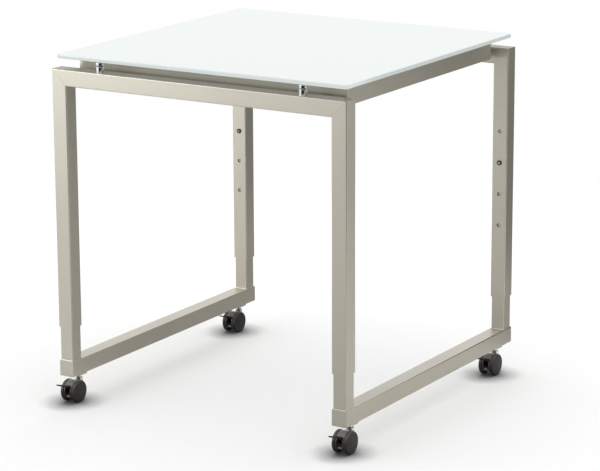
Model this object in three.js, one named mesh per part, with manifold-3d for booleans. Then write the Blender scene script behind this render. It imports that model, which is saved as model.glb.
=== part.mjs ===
// Veterinary exam table. A white glass top stands on chrome standoffs over two square-tube goalposts, which
// an inset tie frame holds together. Telescopic legs with a row of index holes slide on two foot rails, and
// each rail rolls on two braked twin-wheel casters.
// Millimetres, +Z up, front towards -Y. The origin is on the floor, in the middle of the footprint.

import * as THREE from "three";
import { mergeVertices } from "three/addons/utils/BufferGeometryUtils.js";
import Module from "manifold-3d";

const wasm = await Module();
wasm.setup();

// Glass top
const GLASS_WIDTH = 800;
const GLASS_DEPTH = 800;
const GLASS_THICKNESS = 10;
const GLASS_CORNER_RADIUS = 6;
const GLASS_ARRIS = 1;

// Frame tubes
const FRAME_MARGIN_X = 6; // how far the goalposts stand out past the glass at each side
const FRAME_MARGIN_Y = 11; // and at front and back
const TUBE = 40;
const TUBE_WALL = 2;
const TUBE_EDGE_RADIUS = 2.5;
const TUBE_INSIDE_RADIUS = 0.6; // least radius of the edges inside a tube
const OUTER_LEG_LENGTH = 636;
const MITRE_SEAM = 0.3;

// Telescopic legs
const INNER_TUBE_WALL = 2;
const SLIDE_CLEARANCE = 0.5;
const INDEX_HOLE_COUNT = 4;
const INDEX_HOLE_PITCH = 80;
const INDEX_HOLE_DIAMETER = 9;
const TOP_HOLE_DROP = 209; // from the top of the goalpost to the highest hole
const SCREW_HOLE = 1; // the hole that the lock screw sits in, counted from 0 at the top
const LOWEST_GAP = 4; // between outer leg and foot rail with the table at its lowest
const INNER_TUBE_ABOVE_HOLES = 20; // how far the inner tube reaches past the highest index hole

// Lock screws
const SCREW_HEAD_DIAMETER = 13;
const SCREW_HEAD_HEIGHT = 3.5;
const SCREW_DOME_RADIUS = 2.1;
const SCREW_SHANK_DIAMETER = 8;
const SCREW_SOCKET = 5; // across flats
const SCREW_SOCKET_DEPTH = 2.2;
const SCREW_TIP_GAP = 0.3; // from the shank's end to the inner tube

// Tie frame between the goalposts
const TIE_SIDE_INSET = 37; // from the goalposts' side faces
const TIE_END_INSET = 62; // from their front and back faces
const TIE_HEIGHT = 40;
const TIE_THICKNESS = 20;
const TIE_WALL = 2;
const TIE_GLASS_GAP = 10;
const STUB_SIDE_INSET = 106; // from the goalposts' side faces to the welded stubs
const STUB_MARGIN = 3;
const STUB_CHAMFER = 1;

// Glass standoffs
const STANDOFF_SIDE_INSET = 126;
const STANDOFF_DIAMETER = 20;
const STANDOFF_BASE_HEIGHT = 13;
const STANDOFF_GROOVE_HEIGHT = 2;
const STANDOFF_GROOVE_DEPTH = 2.5;
const STANDOFF_CAP_HEIGHT = 8;
const STANDOFF_PAD_HEIGHT = 1;
const STANDOFF_PAD_INSET = 1;
const STANDOFF_CHAMFER = 0.8;

// Foot rails
const RAIL_END_THICKNESS = 3;

// Casters
const CASTER_INSET = 50; // from the rail's end to the swivel axis
const CASTER_TRAIL = 24; // from the swivel axis to the axle
const PLATE_LENGTH = 30;
const PLATE_WIDTH = 30;
const PLATE_THICKNESS = 5;
const PLATE_CORNER_RADIUS = 4;
const STEM_DIAMETER = 11;
const STEM_SHOW = 9; // bare stem between plate and housing
const STEM_ABOVE_PLATE = 24;
const STEM_GROOVE = 0.8;
const STEM_GROOVE_DROP = 6; // from the top of the stem to its ring groove
const STEM_CHAMFER = 1.5;
const PIVOT_PIN_DIAMETER = 8;
const PIVOT_PIN_DEPTH = 19;
const RUNNING_CLEARANCE = 0.3;

// Caster housing and wheels
const WHEEL_DIAMETER = 55;
const WHEEL_WIDTH = 10.5;
const WHEEL_EDGE_RADIUS = 2.5;
const WHEEL_CROWN = 1.2;
const WHEEL_CROWN_RING = 15; // radius of the ring where the crowned cap is given a height of its own
const WHEEL_HUB_DIAMETER = 16;
const WHEEL_RIM_THICKNESS = 6;
const WHEEL_RECESS = 3;
const WHEEL_CAP_THICKNESS = 2.5;
const WHEEL_SIDE_GAP = 0.5;
const AXLE_DIAMETER = 6;
const HOUSING_WIDTH = 21;
const HOUSING_SIDE_WALL = 2.5;
const HOUSING_SKIN = 3;
const HOUSING_STEP = 0.5; // the housing is this much smaller in radius than the wheels
const HOUSING_RISE = 1.5; // from the round of the housing to the top of its stem boss
const HOUSING_BACK_DROP = 5; // how far the hood slopes down from the top of its round to the stem boss
const HOUSING_BOSS_DIAMETER = 17;
const HOUSING_BOSS_DEPTH = 23;
const HOUSING_BOSS_WALL = 1;
const HOUSING_FLOOR_GAP = 12;
const HOUSING_MOUTH_ANGLE = 138; // degrees round the axle, from the back, to the front edge of the hood

// Brake lever, pivoting on the axle
const LEVER_ANGLE = 146; // degrees round the axle at rest, brake off
const LEVER_THICKNESS = 3;
const LEVER_EDGE_RADIUS = 1;
const LEVER_HUB_DIAMETER = 13;
const LEVER_SIDE_CLEARANCE = 0.5;
const PEDAL_KINK = 16; // degrees that the pedal lies flatter than the lever's arm
const PEDAL_LENGTH = 32;
const PEDAL_WIDTH = 26;
const PEDAL_GAP = 2.5; // from the housing's round to the pedal
const PEDAL_CORNER_RADIUS = 4;

// Facets: an arc in a section gets twice as many sides as the steps it is given
const EDGE_STEPS = 1;
const CORNER_STEPS = 2;
const ARRIS_STEPS = 2;
const EDGE_ARC_STEPS = 2;
const HIDDEN_ARC_STEPS = 1;
const SMALL_ROUND = 14;
const WHEEL_ROUND = 24;

// Making of solids
const WELD_DISTANCE = 1e-4; // vertices nearer than this are one
const CUT_OVERSHOOT = 1; // how far a cutting solid runs past what it cuts

// Places worked out from the sizes above
const FRAME_WIDTH = GLASS_WIDTH + 2 * FRAME_MARGIN_X;
const FRAME_DEPTH = GLASS_DEPTH + 2 * FRAME_MARGIN_Y;
const LEG_X = FRAME_WIDTH / 2 - TUBE / 2;
const LEG_Y = FRAME_DEPTH / 2 - TUBE / 2;
const INNER_TUBE = TUBE - 2 * TUBE_WALL - 2 * SLIDE_CLEARANCE;

const WHEEL_RADIUS = WHEEL_DIAMETER / 2;
const AXLE_RADIUS = AXLE_DIAMETER / 2;
const AXLE_Z = WHEEL_RADIUS;
const HOUSING_RADIUS = WHEEL_RADIUS - HOUSING_STEP;
const HOUSING_TOP = AXLE_Z + HOUSING_RADIUS + HOUSING_RISE;
const PLATE_BOTTOM = HOUSING_TOP + STEM_SHOW;
const RAIL_BOTTOM = PLATE_BOTTOM + PLATE_THICKNESS;
const RAIL_TOP = RAIL_BOTTOM + TUBE;

const OUTER_LEG_BOTTOM = RAIL_TOP + LOWEST_GAP + SCREW_HOLE * INDEX_HOLE_PITCH;
const BEAM_TOP = OUTER_LEG_BOTTOM + OUTER_LEG_LENGTH;
const SCREW_Z = BEAM_TOP - TOP_HOLE_DROP - SCREW_HOLE * INDEX_HOLE_PITCH;
const INNER_TUBE_TOP = BEAM_TOP - TOP_HOLE_DROP + INNER_TUBE_ABOVE_HOLES;

const STANDOFF_HEIGHT =
  STANDOFF_BASE_HEIGHT + STANDOFF_GROOVE_HEIGHT + STANDOFF_CAP_HEIGHT + STANDOFF_PAD_HEIGHT;
const GLASS_BOTTOM = BEAM_TOP + STANDOFF_HEIGHT;
const TIE_TOP = GLASS_BOTTOM - TIE_GLASS_GAP;
const TIE_BOTTOM = TIE_TOP - TIE_HEIGHT;

const ARM_ANGLE = THREE.MathUtils.degToRad(LEVER_ANGLE);
const PEDAL_ANGLE = THREE.MathUtils.degToRad(LEVER_ANGLE + PEDAL_KINK);
const PEDAL_START = HOUSING_RADIUS + PEDAL_GAP;
const LEVER_TIP_Y =
  CASTER_TRAIL - PEDAL_START * Math.cos(ARM_ANGLE) - PEDAL_LENGTH * Math.cos(PEDAL_ANGLE);
const LEVER_OVERHANG = LEVER_TIP_Y + (LEVER_THICKNESS / 2) * Math.sin(PEDAL_ANGLE) - CASTER_INSET;
const FOOTPRINT_SHIFT = Math.max(0, LEVER_OVERHANG) / 2; // levers stand out at the front only

// Finishes
const FINISHES = {
  satinSteel: { color: 0xd3cec0, metalness: 0.9, roughness: 0.38 },
  chrome: { color: 0xe6e7e8, metalness: 1, roughness: 0.12 },
  whiteGlass: { color: 0xeef3f0, metalness: 0, roughness: 0.08 },
  blackPlastic: { color: 0x2a2725, metalness: 0, roughness: 0.4 },
  darkScrew: { color: 0x3b3937, metalness: 0.8, roughness: 0.35 },
  axleSteel: { color: 0xb9b9b7, metalness: 1, roughness: 0.3 },
};

// The directions of a section's own x, y and depth when it is drawn out along a main axis
const SECTION_AXES = {
  x: [new THREE.Vector3(0, 1, 0), new THREE.Vector3(0, 0, 1), new THREE.Vector3(1, 0, 0)],
  y: [new THREE.Vector3(0, 0, 1), new THREE.Vector3(1, 0, 0), new THREE.Vector3(0, 1, 0)],
  z: [new THREE.Vector3(1, 0, 0), new THREE.Vector3(0, 1, 0), new THREE.Vector3(0, 0, 1)],
};

const CORNERS = [
  { name: "front_left", x: -1, y: -1 },
  { name: "front_right", x: 1, y: -1 },
  { name: "back_left", x: -1, y: 1 },
  { name: "back_right", x: 1, y: 1 },
];

// Solids and sections

function toSolid(geometry) {
  const bare = geometry.clone();
  bare.deleteAttribute("normal");
  bare.deleteAttribute("uv");
  const merged = mergeVertices(bare, WELD_DISTANCE);
  const mesh = new wasm.Mesh({
    numProp: 3,
    vertProperties: merged.attributes.position.array,
    triVerts: new Uint32Array(merged.index.array),
  });
  return new wasm.Manifold(mesh);
}

function toGeometry(solid) {
  const mesh = solid.getMesh();
  const geometry = new THREE.BufferGeometry();
  geometry.setAttribute("position", new THREE.BufferAttribute(mesh.vertProperties, 3));
  geometry.setIndex(new THREE.BufferAttribute(mesh.triVerts, 1));
  geometry.computeVertexNormals();
  return geometry;
}

function roundedRectangle(width, height, radius) {
  const x = width / 2;
  const y = height / 2;
  const shape = new THREE.Shape();
  shape.moveTo(-x + radius, -y);
  shape.lineTo(x - radius, -y);
  shape.absarc(x - radius, -y + radius, radius, -Math.PI / 2, 0);
  shape.lineTo(x, y - radius);
  shape.absarc(x - radius, y - radius, radius, 0, Math.PI / 2);
  shape.lineTo(-x + radius, y);
  shape.absarc(-x + radius, y - radius, radius, Math.PI / 2, Math.PI);
  shape.lineTo(-x, -y + radius);
  shape.absarc(-x + radius, -y + radius, radius, Math.PI, 1.5 * Math.PI);
  return shape;
}

function hollowSection(width, height, wall) {
  const section = roundedRectangle(width, height, TUBE_EDGE_RADIUS);
  const innerRadius = Math.max(TUBE_EDGE_RADIUS - wall, TUBE_INSIDE_RADIUS);
  section.holes.push(roundedRectangle(width - 2 * wall, height - 2 * wall, innerRadius));
  return section;
}

function drawOut(section, axis, from, to, steps = EDGE_STEPS) {
  const settings = { depth: to - from, bevelEnabled: false, curveSegments: steps };
  const geometry = new THREE.ExtrudeGeometry(section, settings);
  geometry.translate(0, 0, from);
  return geometry.applyMatrix4(new THREE.Matrix4().makeBasis(...SECTION_AXES[axis]));
}

function roundBar(radius, axis, from, to, segments = SMALL_ROUND) {
  const circle = new THREE.Shape().absarc(0, 0, radius, 0, 2 * Math.PI);
  return drawOut(circle, axis, from, to, segments / 2);
}

function turned(profile, segments = SMALL_ROUND) {
  const points = profile.map(([radius, height]) => new THREE.Vector2(radius, height));
  return new THREE.LatheGeometry(points, segments);
}

function turnedUpright(profile, segments) {
  return turned(profile, segments).rotateX(Math.PI / 2);
}

function arcPoints(centreRadius, centreHeight, radius, fromDegrees, toDegrees, steps) {
  return Array.from({ length: steps + 1 }, (_, i) => {
    const angle = THREE.MathUtils.degToRad(fromDegrees + ((toDegrees - fromDegrees) * i) / steps);
    return [centreRadius + radius * Math.cos(angle), centreHeight + radius * Math.sin(angle)];
  });
}

function addPiece(parent, name, form, finish) {
  const geometry = form.isBufferGeometry ? form : toGeometry(form);
  const mesh = new THREE.Mesh(geometry, new THREE.MeshStandardMaterial(FINISHES[finish]));
  mesh.name = name;
  parent.add(mesh);
  return mesh;
}

// Cuts a solid at 45 degrees, keeping the side that the direction points to
function cutMitre(solid, direction, pointOnPlane) {
  const normal = new THREE.Vector3(...direction).normalize();
  const offset = normal.dot(new THREE.Vector3(...pointOnPlane)) + MITRE_SEAM / 2;
  return solid.trimByPlane(normal.toArray(), offset);
}

// Goalposts

function beam(sideY) {
  const half = FRAME_WIDTH / 2;
  const tube = drawOut(hollowSection(TUBE, TUBE, TUBE_WALL), "x", -half, half);
  tube.translate(0, sideY * LEG_Y, BEAM_TOP - TUBE / 2);
  const leftCut = cutMitre(toSolid(tube), [1, 0, 1], [-half, 0, BEAM_TOP]);
  return cutMitre(leftCut, [-1, 0, 1], [half, 0, BEAM_TOP]);
}

function indexHoles(corner) {
  const faceY = corner.y * (LEG_Y - TUBE / 2);
  const through = 2 * TUBE_WALL;
  return Array.from({ length: INDEX_HOLE_COUNT }, (_, i) => {
    const z = BEAM_TOP - TOP_HOLE_DROP - i * INDEX_HOLE_PITCH;
    const hole = roundBar(INDEX_HOLE_DIAMETER / 2, "y", -through, through);
    return toSolid(hole.translate(corner.x * LEG_X, faceY, z));
  });
}

function outerLeg(corner) {
  const tube = drawOut(hollowSection(TUBE, TUBE, TUBE_WALL), "z", OUTER_LEG_BOTTOM, BEAM_TOP);
  tube.translate(corner.x * LEG_X, corner.y * LEG_Y, 0);
  const outerCorner = [(corner.x * FRAME_WIDTH) / 2, 0, BEAM_TOP];
  const leg = cutMitre(toSolid(tube), [corner.x, 0, -1], outerCorner);
  return indexHoles(corner).reduce((solid, hole) => solid.subtract(hole), leg);
}

function lockScrew() {
  const headRadius = SCREW_HEAD_DIAMETER / 2;
  const shankRadius = SCREW_SHANK_DIAMETER / 2;
  const shankLength = TUBE_WALL + SLIDE_CLEARANCE - SCREW_TIP_GAP;
  const dome = SCREW_DOME_RADIUS;
  const body = turned([
    [0, -shankLength],
    [shankRadius, -shankLength],
    [shankRadius, 0],
    [headRadius, 0],
    ...arcPoints(headRadius - dome, SCREW_HEAD_HEIGHT - dome, dome, 0, 90, EDGE_ARC_STEPS),
    [0, SCREW_HEAD_HEIGHT],
  ]);
  const socketRadius = SCREW_SOCKET / Math.sqrt(3);
  const socket = new THREE.CylinderGeometry(socketRadius, socketRadius, 2 * SCREW_SOCKET_DEPTH, 6);
  socket.translate(0, SCREW_HEAD_HEIGHT, 0);
  return toSolid(body).subtract(toSolid(socket));
}

function addGoalposts(table) {
  addPiece(table, "front_beam", beam(-1), "satinSteel");
  addPiece(table, "back_beam", beam(1), "satinSteel");
  for (const corner of CORNERS) {
    addPiece(table, `outer_leg_${corner.name}`, outerLeg(corner), "satinSteel");
    const screw = addPiece(table, `lock_screw_${corner.name}`, lockScrew(), "darkScrew");
    screw.position.set(corner.x * LEG_X, corner.y * (LEG_Y - TUBE / 2), SCREW_Z);
    screw.rotation.z = corner.y > 0 ? Math.PI : 0;
  }
}

// Tie frame

function tieTube(axis, halfLength, centre, cornerDirection) {
  const [width, height] = axis === "x" ? [TIE_THICKNESS, TIE_HEIGHT] : [TIE_HEIGHT, TIE_THICKNESS];
  const tube = drawOut(hollowSection(width, height, TIE_WALL), axis, -halfLength, halfLength);
  tube.translate(...centre);
  const cornerX = FRAME_WIDTH / 2 - TIE_SIDE_INSET;
  const cornerY = FRAME_DEPTH / 2 - TIE_END_INSET;
  return cornerDirection.reduce(
    (solid, { corner, keep }) =>
      cutMitre(solid, keep, [corner[0] * cornerX, corner[1] * cornerY, 0]),
    toSolid(tube),
  );
}

function addTieFrame(table) {
  const halfX = FRAME_WIDTH / 2 - TIE_SIDE_INSET;
  const halfY = FRAME_DEPTH / 2 - TIE_END_INSET;
  const z = TIE_TOP - TIE_HEIGHT / 2;
  for (const [name, side] of [["front", -1], ["back", 1]]) {
    const ends = [-1, 1].map((end) => ({ corner: [end, side], keep: [-end, side, 0] }));
    const centre = [0, side * (halfY - TIE_THICKNESS / 2), z];
    addPiece(table, `tie_${name}_tube`, tieTube("x", halfX, centre, ends), "satinSteel");
  }
  for (const [name, side] of [["left", -1], ["right", 1]]) {
    const ends = [-1, 1].map((end) => ({ corner: [side, end], keep: [side, -end, 0] }));
    const centre = [side * (halfX - TIE_THICKNESS / 2), 0, z];
    addPiece(table, `tie_${name}_tube`, tieTube("y", halfY, centre, ends), "satinSteel");
  }
}

function tieStub() {
  const radius = (BEAM_TOP - TIE_BOTTOM) / 2 - STUB_MARGIN;
  const length = TIE_END_INSET - TUBE;
  return turned([
    [0, 0],
    [radius - STUB_CHAMFER, 0],
    [radius, STUB_CHAMFER],
    [radius, length - STUB_CHAMFER],
    [radius - STUB_CHAMFER, length],
    [0, length],
  ]);
}

function addTieStubs(table) {
  for (const corner of CORNERS) {
    const stub = addPiece(table, `tie_stub_${corner.name}`, tieStub(), "satinSteel");
    const nearY = corner.y < 0 ? FRAME_DEPTH / 2 - TUBE : FRAME_DEPTH / 2 - TIE_END_INSET;
    const x = corner.x * (FRAME_WIDTH / 2 - STUB_SIDE_INSET);
    stub.position.set(x, corner.y * nearY, (BEAM_TOP + TIE_BOTTOM) / 2);
  }
}

// Glass and its standoffs

function glassTop() {
  const section = roundedRectangle(
    GLASS_WIDTH - 2 * GLASS_ARRIS,
    GLASS_DEPTH - 2 * GLASS_ARRIS,
    GLASS_CORNER_RADIUS - GLASS_ARRIS,
  );
  const geometry = new THREE.ExtrudeGeometry(section, {
    depth: GLASS_THICKNESS - 2 * GLASS_ARRIS,
    bevelThickness: GLASS_ARRIS,
    bevelSize: GLASS_ARRIS,
    bevelSegments: ARRIS_STEPS,
    curveSegments: CORNER_STEPS,
  });
  return geometry.translate(0, 0, GLASS_ARRIS);
}

function standoff() {
  const radius = STANDOFF_DIAMETER / 2;
  const chamfered = radius - STANDOFF_CHAMFER;
  const grooveRadius = radius - STANDOFF_GROOVE_DEPTH;
  const grooveTop = STANDOFF_BASE_HEIGHT + STANDOFF_GROOVE_HEIGHT;
  const capTop = grooveTop + STANDOFF_CAP_HEIGHT;
  const padRadius = radius - STANDOFF_PAD_INSET - STANDOFF_CHAMFER;
  return turnedUpright([
    [0, 0],
    [radius, 0],
    [radius, STANDOFF_BASE_HEIGHT - STANDOFF_CHAMFER],
    [chamfered, STANDOFF_BASE_HEIGHT],
    [grooveRadius, STANDOFF_BASE_HEIGHT],
    [grooveRadius, grooveTop],
    [chamfered, grooveTop],
    [radius, grooveTop + STANDOFF_CHAMFER],
    [radius, capTop - STANDOFF_CHAMFER],
    [chamfered, capTop],
    [padRadius, capTop],
    [padRadius, STANDOFF_HEIGHT],
    [0, STANDOFF_HEIGHT],
  ]);
}

function addGlass(table) {
  addPiece(table, "glass_top", glassTop(), "whiteGlass").position.z = GLASS_BOTTOM;
  for (const corner of CORNERS) {
    const piece = addPiece(table, `glass_standoff_${corner.name}`, standoff(), "chrome");
    const x = FRAME_WIDTH / 2 - STANDOFF_SIDE_INSET;
    piece.position.set(corner.x * x, corner.y * LEG_Y, BEAM_TOP);
  }
}

// Foot frames

// The hole for a caster stem, through its plate and the lower wall of the rail
function stemHole() {
  const radius = STEM_DIAMETER / 2 + RUNNING_CLEARANCE;
  return roundBar(radius, "z", PLATE_BOTTOM - TUBE_WALL, RAIL_BOTTOM + 2 * TUBE_WALL);
}

function footRail(sideX) {
  const half = FRAME_DEPTH / 2;
  const tube = drawOut(hollowSection(TUBE, TUBE, TUBE_WALL), "y", -half, half);
  const plug = roundedRectangle(TUBE, TUBE, TUBE_EDGE_RADIUS);
  const ends = [
    drawOut(plug, "y", -half, -half + RAIL_END_THICKNESS),
    drawOut(plug, "y", half - RAIL_END_THICKNESS, half),
  ];
  const closed = ends.reduce((solid, end) => solid.add(toSolid(end)), toSolid(tube));
  const stemHoles = [-1, 1].map((end) =>
    toSolid(stemHole().translate(0, end * (half - CASTER_INSET), -RAIL_BOTTOM - TUBE / 2)),
  );
  const drilled = stemHoles.reduce((solid, hole) => solid.subtract(hole), closed);
  return drilled.translate([sideX * LEG_X, 0, RAIL_BOTTOM + TUBE / 2]);
}

function innerLeg(corner) {
  const section = hollowSection(INNER_TUBE, INNER_TUBE, INNER_TUBE_WALL);
  const tube = toSolid(drawOut(section, "z", RAIL_TOP, INNER_TUBE_TOP));
  const hole = roundBar(SCREW_SHANK_DIAMETER / 2, "y", -2 * INNER_TUBE_WALL, 2 * INNER_TUBE_WALL);
  const holeSolid = toSolid(hole.translate(0, (-corner.y * INNER_TUBE) / 2, SCREW_Z));
  return tube.subtract(holeSolid).translate([corner.x * LEG_X, corner.y * LEG_Y, 0]);
}

function addFeet(table) {
  addPiece(table, "foot_rail_left", footRail(-1), "satinSteel");
  addPiece(table, "foot_rail_right", footRail(1), "satinSteel");
  for (const corner of CORNERS) {
    addPiece(table, `inner_leg_${corner.name}`, innerLeg(corner), "satinSteel");
  }
}

// Casters, each in a frame of its own with the swivel axis at its origin and the wheels trailing to -Y

function casterPlate() {
  const section = roundedRectangle(PLATE_WIDTH, PLATE_LENGTH, PLATE_CORNER_RADIUS);
  const plate = toSolid(drawOut(section, "z", PLATE_BOTTOM, RAIL_BOTTOM, CORNER_STEPS));
  return plate.subtract(toSolid(stemHole()));
}

function casterStem() {
  const radius = STEM_DIAMETER / 2;
  const pinRadius = PIVOT_PIN_DIAMETER / 2;
  const shoulder = HOUSING_TOP + RUNNING_CLEARANCE;
  const top = PLATE_BOTTOM + STEM_ABOVE_PLATE;
  const groove = top - STEM_GROOVE_DROP;
  return turnedUpright([
    [0, HOUSING_TOP - PIVOT_PIN_DEPTH],
    [pinRadius, HOUSING_TOP - PIVOT_PIN_DEPTH],
    [pinRadius, shoulder],
    [radius, shoulder],
    [radius, groove - STEM_GROOVE],
    [radius - STEM_GROOVE, groove],
    [radius, groove + STEM_GROOVE],
    [radius, top - STEM_CHAMFER],
    [radius - STEM_CHAMFER, top],
    [0, top],
  ]);
}

// The round of the housing, cut off level above the floor
function housingRound() {
  const cut = Math.asin((HOUSING_FLOOR_GAP - AXLE_Z) / HOUSING_RADIUS);
  return new THREE.Shape().absarc(-CASTER_TRAIL, AXLE_Z, HOUSING_RADIUS, cut, Math.PI - cut);
}

// The hollow of the hood, open at the front below the lever and at the bottom
function housingHollow() {
  const radius = HOUSING_RADIUS - HOUSING_SKIN;
  const mouth = THREE.MathUtils.degToRad(HOUSING_MOUTH_ANGLE);
  const backWall = -HOUSING_BOSS_DIAMETER / 2 - HOUSING_BOSS_WALL;
  const backAngle = Math.acos((backWall + CASTER_TRAIL) / radius);
  const outside = HOUSING_RADIUS + HOUSING_SKIN;
  const lipY = -CASTER_TRAIL + outside * Math.cos(mouth);
  const lipZ = AXLE_Z + outside * Math.sin(mouth);
  const hollow = new THREE.Shape();
  hollow.absarc(-CASTER_TRAIL, AXLE_Z, radius, backAngle, mouth);
  hollow.lineTo(lipY, lipZ);
  hollow.lineTo(-CASTER_TRAIL - outside, lipZ);
  hollow.lineTo(-CASTER_TRAIL - outside, 0);
  hollow.lineTo(backWall, 0);
  return hollow;
}

function casterHousing() {
  const half = HOUSING_WIDTH / 2;
  const bossBottom = HOUSING_TOP - HOUSING_BOSS_DEPTH;
  const roundTop = AXLE_Z + HOUSING_RADIUS;
  const bridge = new THREE.Shape();
  bridge.moveTo(-CASTER_TRAIL, bossBottom);
  bridge.lineTo(0, bossBottom);
  bridge.lineTo(0, roundTop - HOUSING_BACK_DROP);
  bridge.lineTo(-CASTER_TRAIL, roundTop);
  const body = toSolid(drawOut(housingRound(), "x", -half, half, WHEEL_ROUND / 2))
    .add(toSolid(drawOut(bridge, "x", -half, half)))
    .add(toSolid(roundBar(HOUSING_BOSS_DIAMETER / 2, "z", bossBottom, HOUSING_TOP)));
  const slot = half - HOUSING_SIDE_WALL;
  const hollow = toSolid(drawOut(housingHollow(), "x", -slot, slot, WHEEL_ROUND / 4));
  const pivotRadius = PIVOT_PIN_DIAMETER / 2 + RUNNING_CLEARANCE;
  const pivotBottom = HOUSING_TOP - PIVOT_PIN_DEPTH - RUNNING_CLEARANCE;
  const pivot = toSolid(roundBar(pivotRadius, "z", pivotBottom, HOUSING_TOP + CUT_OVERSHOOT));
  const boreReach = half + CUT_OVERSHOOT;
  const axleHole = roundBar(AXLE_RADIUS + RUNNING_CLEARANCE, "x", -boreReach, boreReach);
  const bore = toSolid(axleHole.translate(0, -CASTER_TRAIL, AXLE_Z));
  return body.subtract(hollow).subtract(pivot).subtract(bore);
}

// A wheel lies with its inner face at height 0 and its smooth cap on top
function casterWheel() {
  const rim = WHEEL_RADIUS - WHEEL_RIM_THICKNESS;
  const bore = AXLE_RADIUS + RUNNING_CLEARANCE;
  const boreDepth = WHEEL_WIDTH - WHEEL_CAP_THICKNESS;
  const edge = WHEEL_EDGE_RADIUS;
  const shoulder = WHEEL_RADIUS - edge;
  const capEdge = WHEEL_WIDTH - WHEEL_CROWN;
  return turned([
    [0, boreDepth],
    [bore, boreDepth],
    [bore, 0],
    [WHEEL_HUB_DIAMETER / 2, 0],
    [WHEEL_HUB_DIAMETER / 2, WHEEL_RECESS],
    [rim, WHEEL_RECESS],
    [rim, 0],
    ...arcPoints(shoulder, edge, edge, -90, 0, HIDDEN_ARC_STEPS),
    ...arcPoints(shoulder, capEdge - edge, edge, 0, 90, EDGE_ARC_STEPS),
    [WHEEL_CROWN_RING, WHEEL_WIDTH - WHEEL_CROWN * (WHEEL_CROWN_RING / shoulder) ** 2],
    [0, WHEEL_WIDTH],
  ], WHEEL_ROUND);
}

function brakeLever() {
  const half = HOUSING_WIDTH / 2 - HOUSING_SIDE_WALL - LEVER_SIDE_CLEARANCE;
  const armLength = PEDAL_START + LEVER_THICKNESS / 2;
  const hub = roundBar(LEVER_HUB_DIAMETER / 2, "x", -half, half);
  const armSection = roundedRectangle(armLength, LEVER_THICKNESS, LEVER_EDGE_RADIUS);
  const arm = drawOut(armSection, "x", -half, half).translate(0, armLength / 2, 0);
  const pedalSection = roundedRectangle(PEDAL_WIDTH, PEDAL_LENGTH, PEDAL_CORNER_RADIUS);
  const pedal = drawOut(pedalSection, "z", -LEVER_THICKNESS / 2, LEVER_THICKNESS / 2, CORNER_STEPS);
  pedal.translate(0, PEDAL_LENGTH / 2, 0).rotateX(THREE.MathUtils.degToRad(PEDAL_KINK));
  pedal.translate(0, PEDAL_START, 0);
  const bore = roundBar(AXLE_RADIUS + RUNNING_CLEARANCE, "x", -half - CUT_OVERSHOOT, half + CUT_OVERSHOOT);
  return toSolid(hub).add(toSolid(arm)).add(toSolid(pedal)).subtract(toSolid(bore));
}

function axle() {
  const reach = HOUSING_WIDTH / 2 + WHEEL_SIDE_GAP + WHEEL_WIDTH - WHEEL_CAP_THICKNESS;
  return roundBar(AXLE_RADIUS, "x", -reach + RUNNING_CLEARANCE, reach - RUNNING_CLEARANCE);
}

function addCaster(table, corner) {
  const caster = new THREE.Group();
  caster.position.set(corner.x * LEG_X, corner.y * (FRAME_DEPTH / 2 - CASTER_INSET), 0);
  table.add(caster);
  const named = (piece) => `${corner.name}_caster_${piece}`;
  addPiece(caster, named("plate"), casterPlate(), "satinSteel");
  addPiece(caster, named("stem"), casterStem(), "chrome");
  addPiece(caster, named("housing"), casterHousing(), "blackPlastic");
  const lever = addPiece(caster, named("brake_lever"), brakeLever(), "blackPlastic");
  lever.position.set(0, -CASTER_TRAIL, AXLE_Z);
  lever.rotation.x = ARM_ANGLE;
  addPiece(caster, named("axle"), axle(), "axleSteel").position.set(0, -CASTER_TRAIL, AXLE_Z);
  for (const [side, direction] of [["left_wheel", -1], ["right_wheel", 1]]) {
    const wheel = addPiece(caster, named(side), casterWheel(), "blackPlastic");
    wheel.position.set(direction * (HOUSING_WIDTH / 2 + WHEEL_SIDE_GAP), -CASTER_TRAIL, AXLE_Z);
    wheel.rotation.z = (-direction * Math.PI) / 2;
  }
}

const examTable = new THREE.Group();
examTable.name = "veterinary_exam_table";
const table = new THREE.Group();
table.position.y = FOOTPRINT_SHIFT;
examTable.add(table);
addGlass(table);
addGoalposts(table);
addTieFrame(table);
addTieStubs(table);
addFeet(table);
CORNERS.forEach((corner) => addCaster(table, corner));

export default examTable;
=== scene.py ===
"""Looks of a veterinary exam table: a white glass top on a steel frame with telescopic legs and casters.

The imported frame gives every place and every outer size. Each class below builds one sub-assembly as finer
meshes, dresses them and lets them ride on the body that carries them. Lengths are in metres.
"""

from __future__ import annotations

import logging
import math
from dataclasses import dataclass, field
from enum import Enum
from typing import Callable, ClassVar, Sequence

import bmesh
import bpy
from mathutils import Matrix, Vector

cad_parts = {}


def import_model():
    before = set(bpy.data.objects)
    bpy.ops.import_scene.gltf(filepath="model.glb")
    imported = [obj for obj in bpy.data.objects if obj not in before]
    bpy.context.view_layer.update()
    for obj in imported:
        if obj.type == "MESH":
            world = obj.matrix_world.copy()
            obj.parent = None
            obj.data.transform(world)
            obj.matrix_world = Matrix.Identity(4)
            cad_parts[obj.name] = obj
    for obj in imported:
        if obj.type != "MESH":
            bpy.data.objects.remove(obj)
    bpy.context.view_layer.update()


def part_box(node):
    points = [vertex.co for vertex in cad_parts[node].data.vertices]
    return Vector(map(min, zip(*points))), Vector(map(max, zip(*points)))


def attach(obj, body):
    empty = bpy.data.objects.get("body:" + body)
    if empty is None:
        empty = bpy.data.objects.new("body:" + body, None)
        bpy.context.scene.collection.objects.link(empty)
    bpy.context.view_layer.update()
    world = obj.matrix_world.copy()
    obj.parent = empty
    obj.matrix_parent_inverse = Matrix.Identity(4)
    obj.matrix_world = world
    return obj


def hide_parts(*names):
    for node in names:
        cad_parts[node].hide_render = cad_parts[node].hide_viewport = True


log = logging.getLogger("exam_table")

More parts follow.
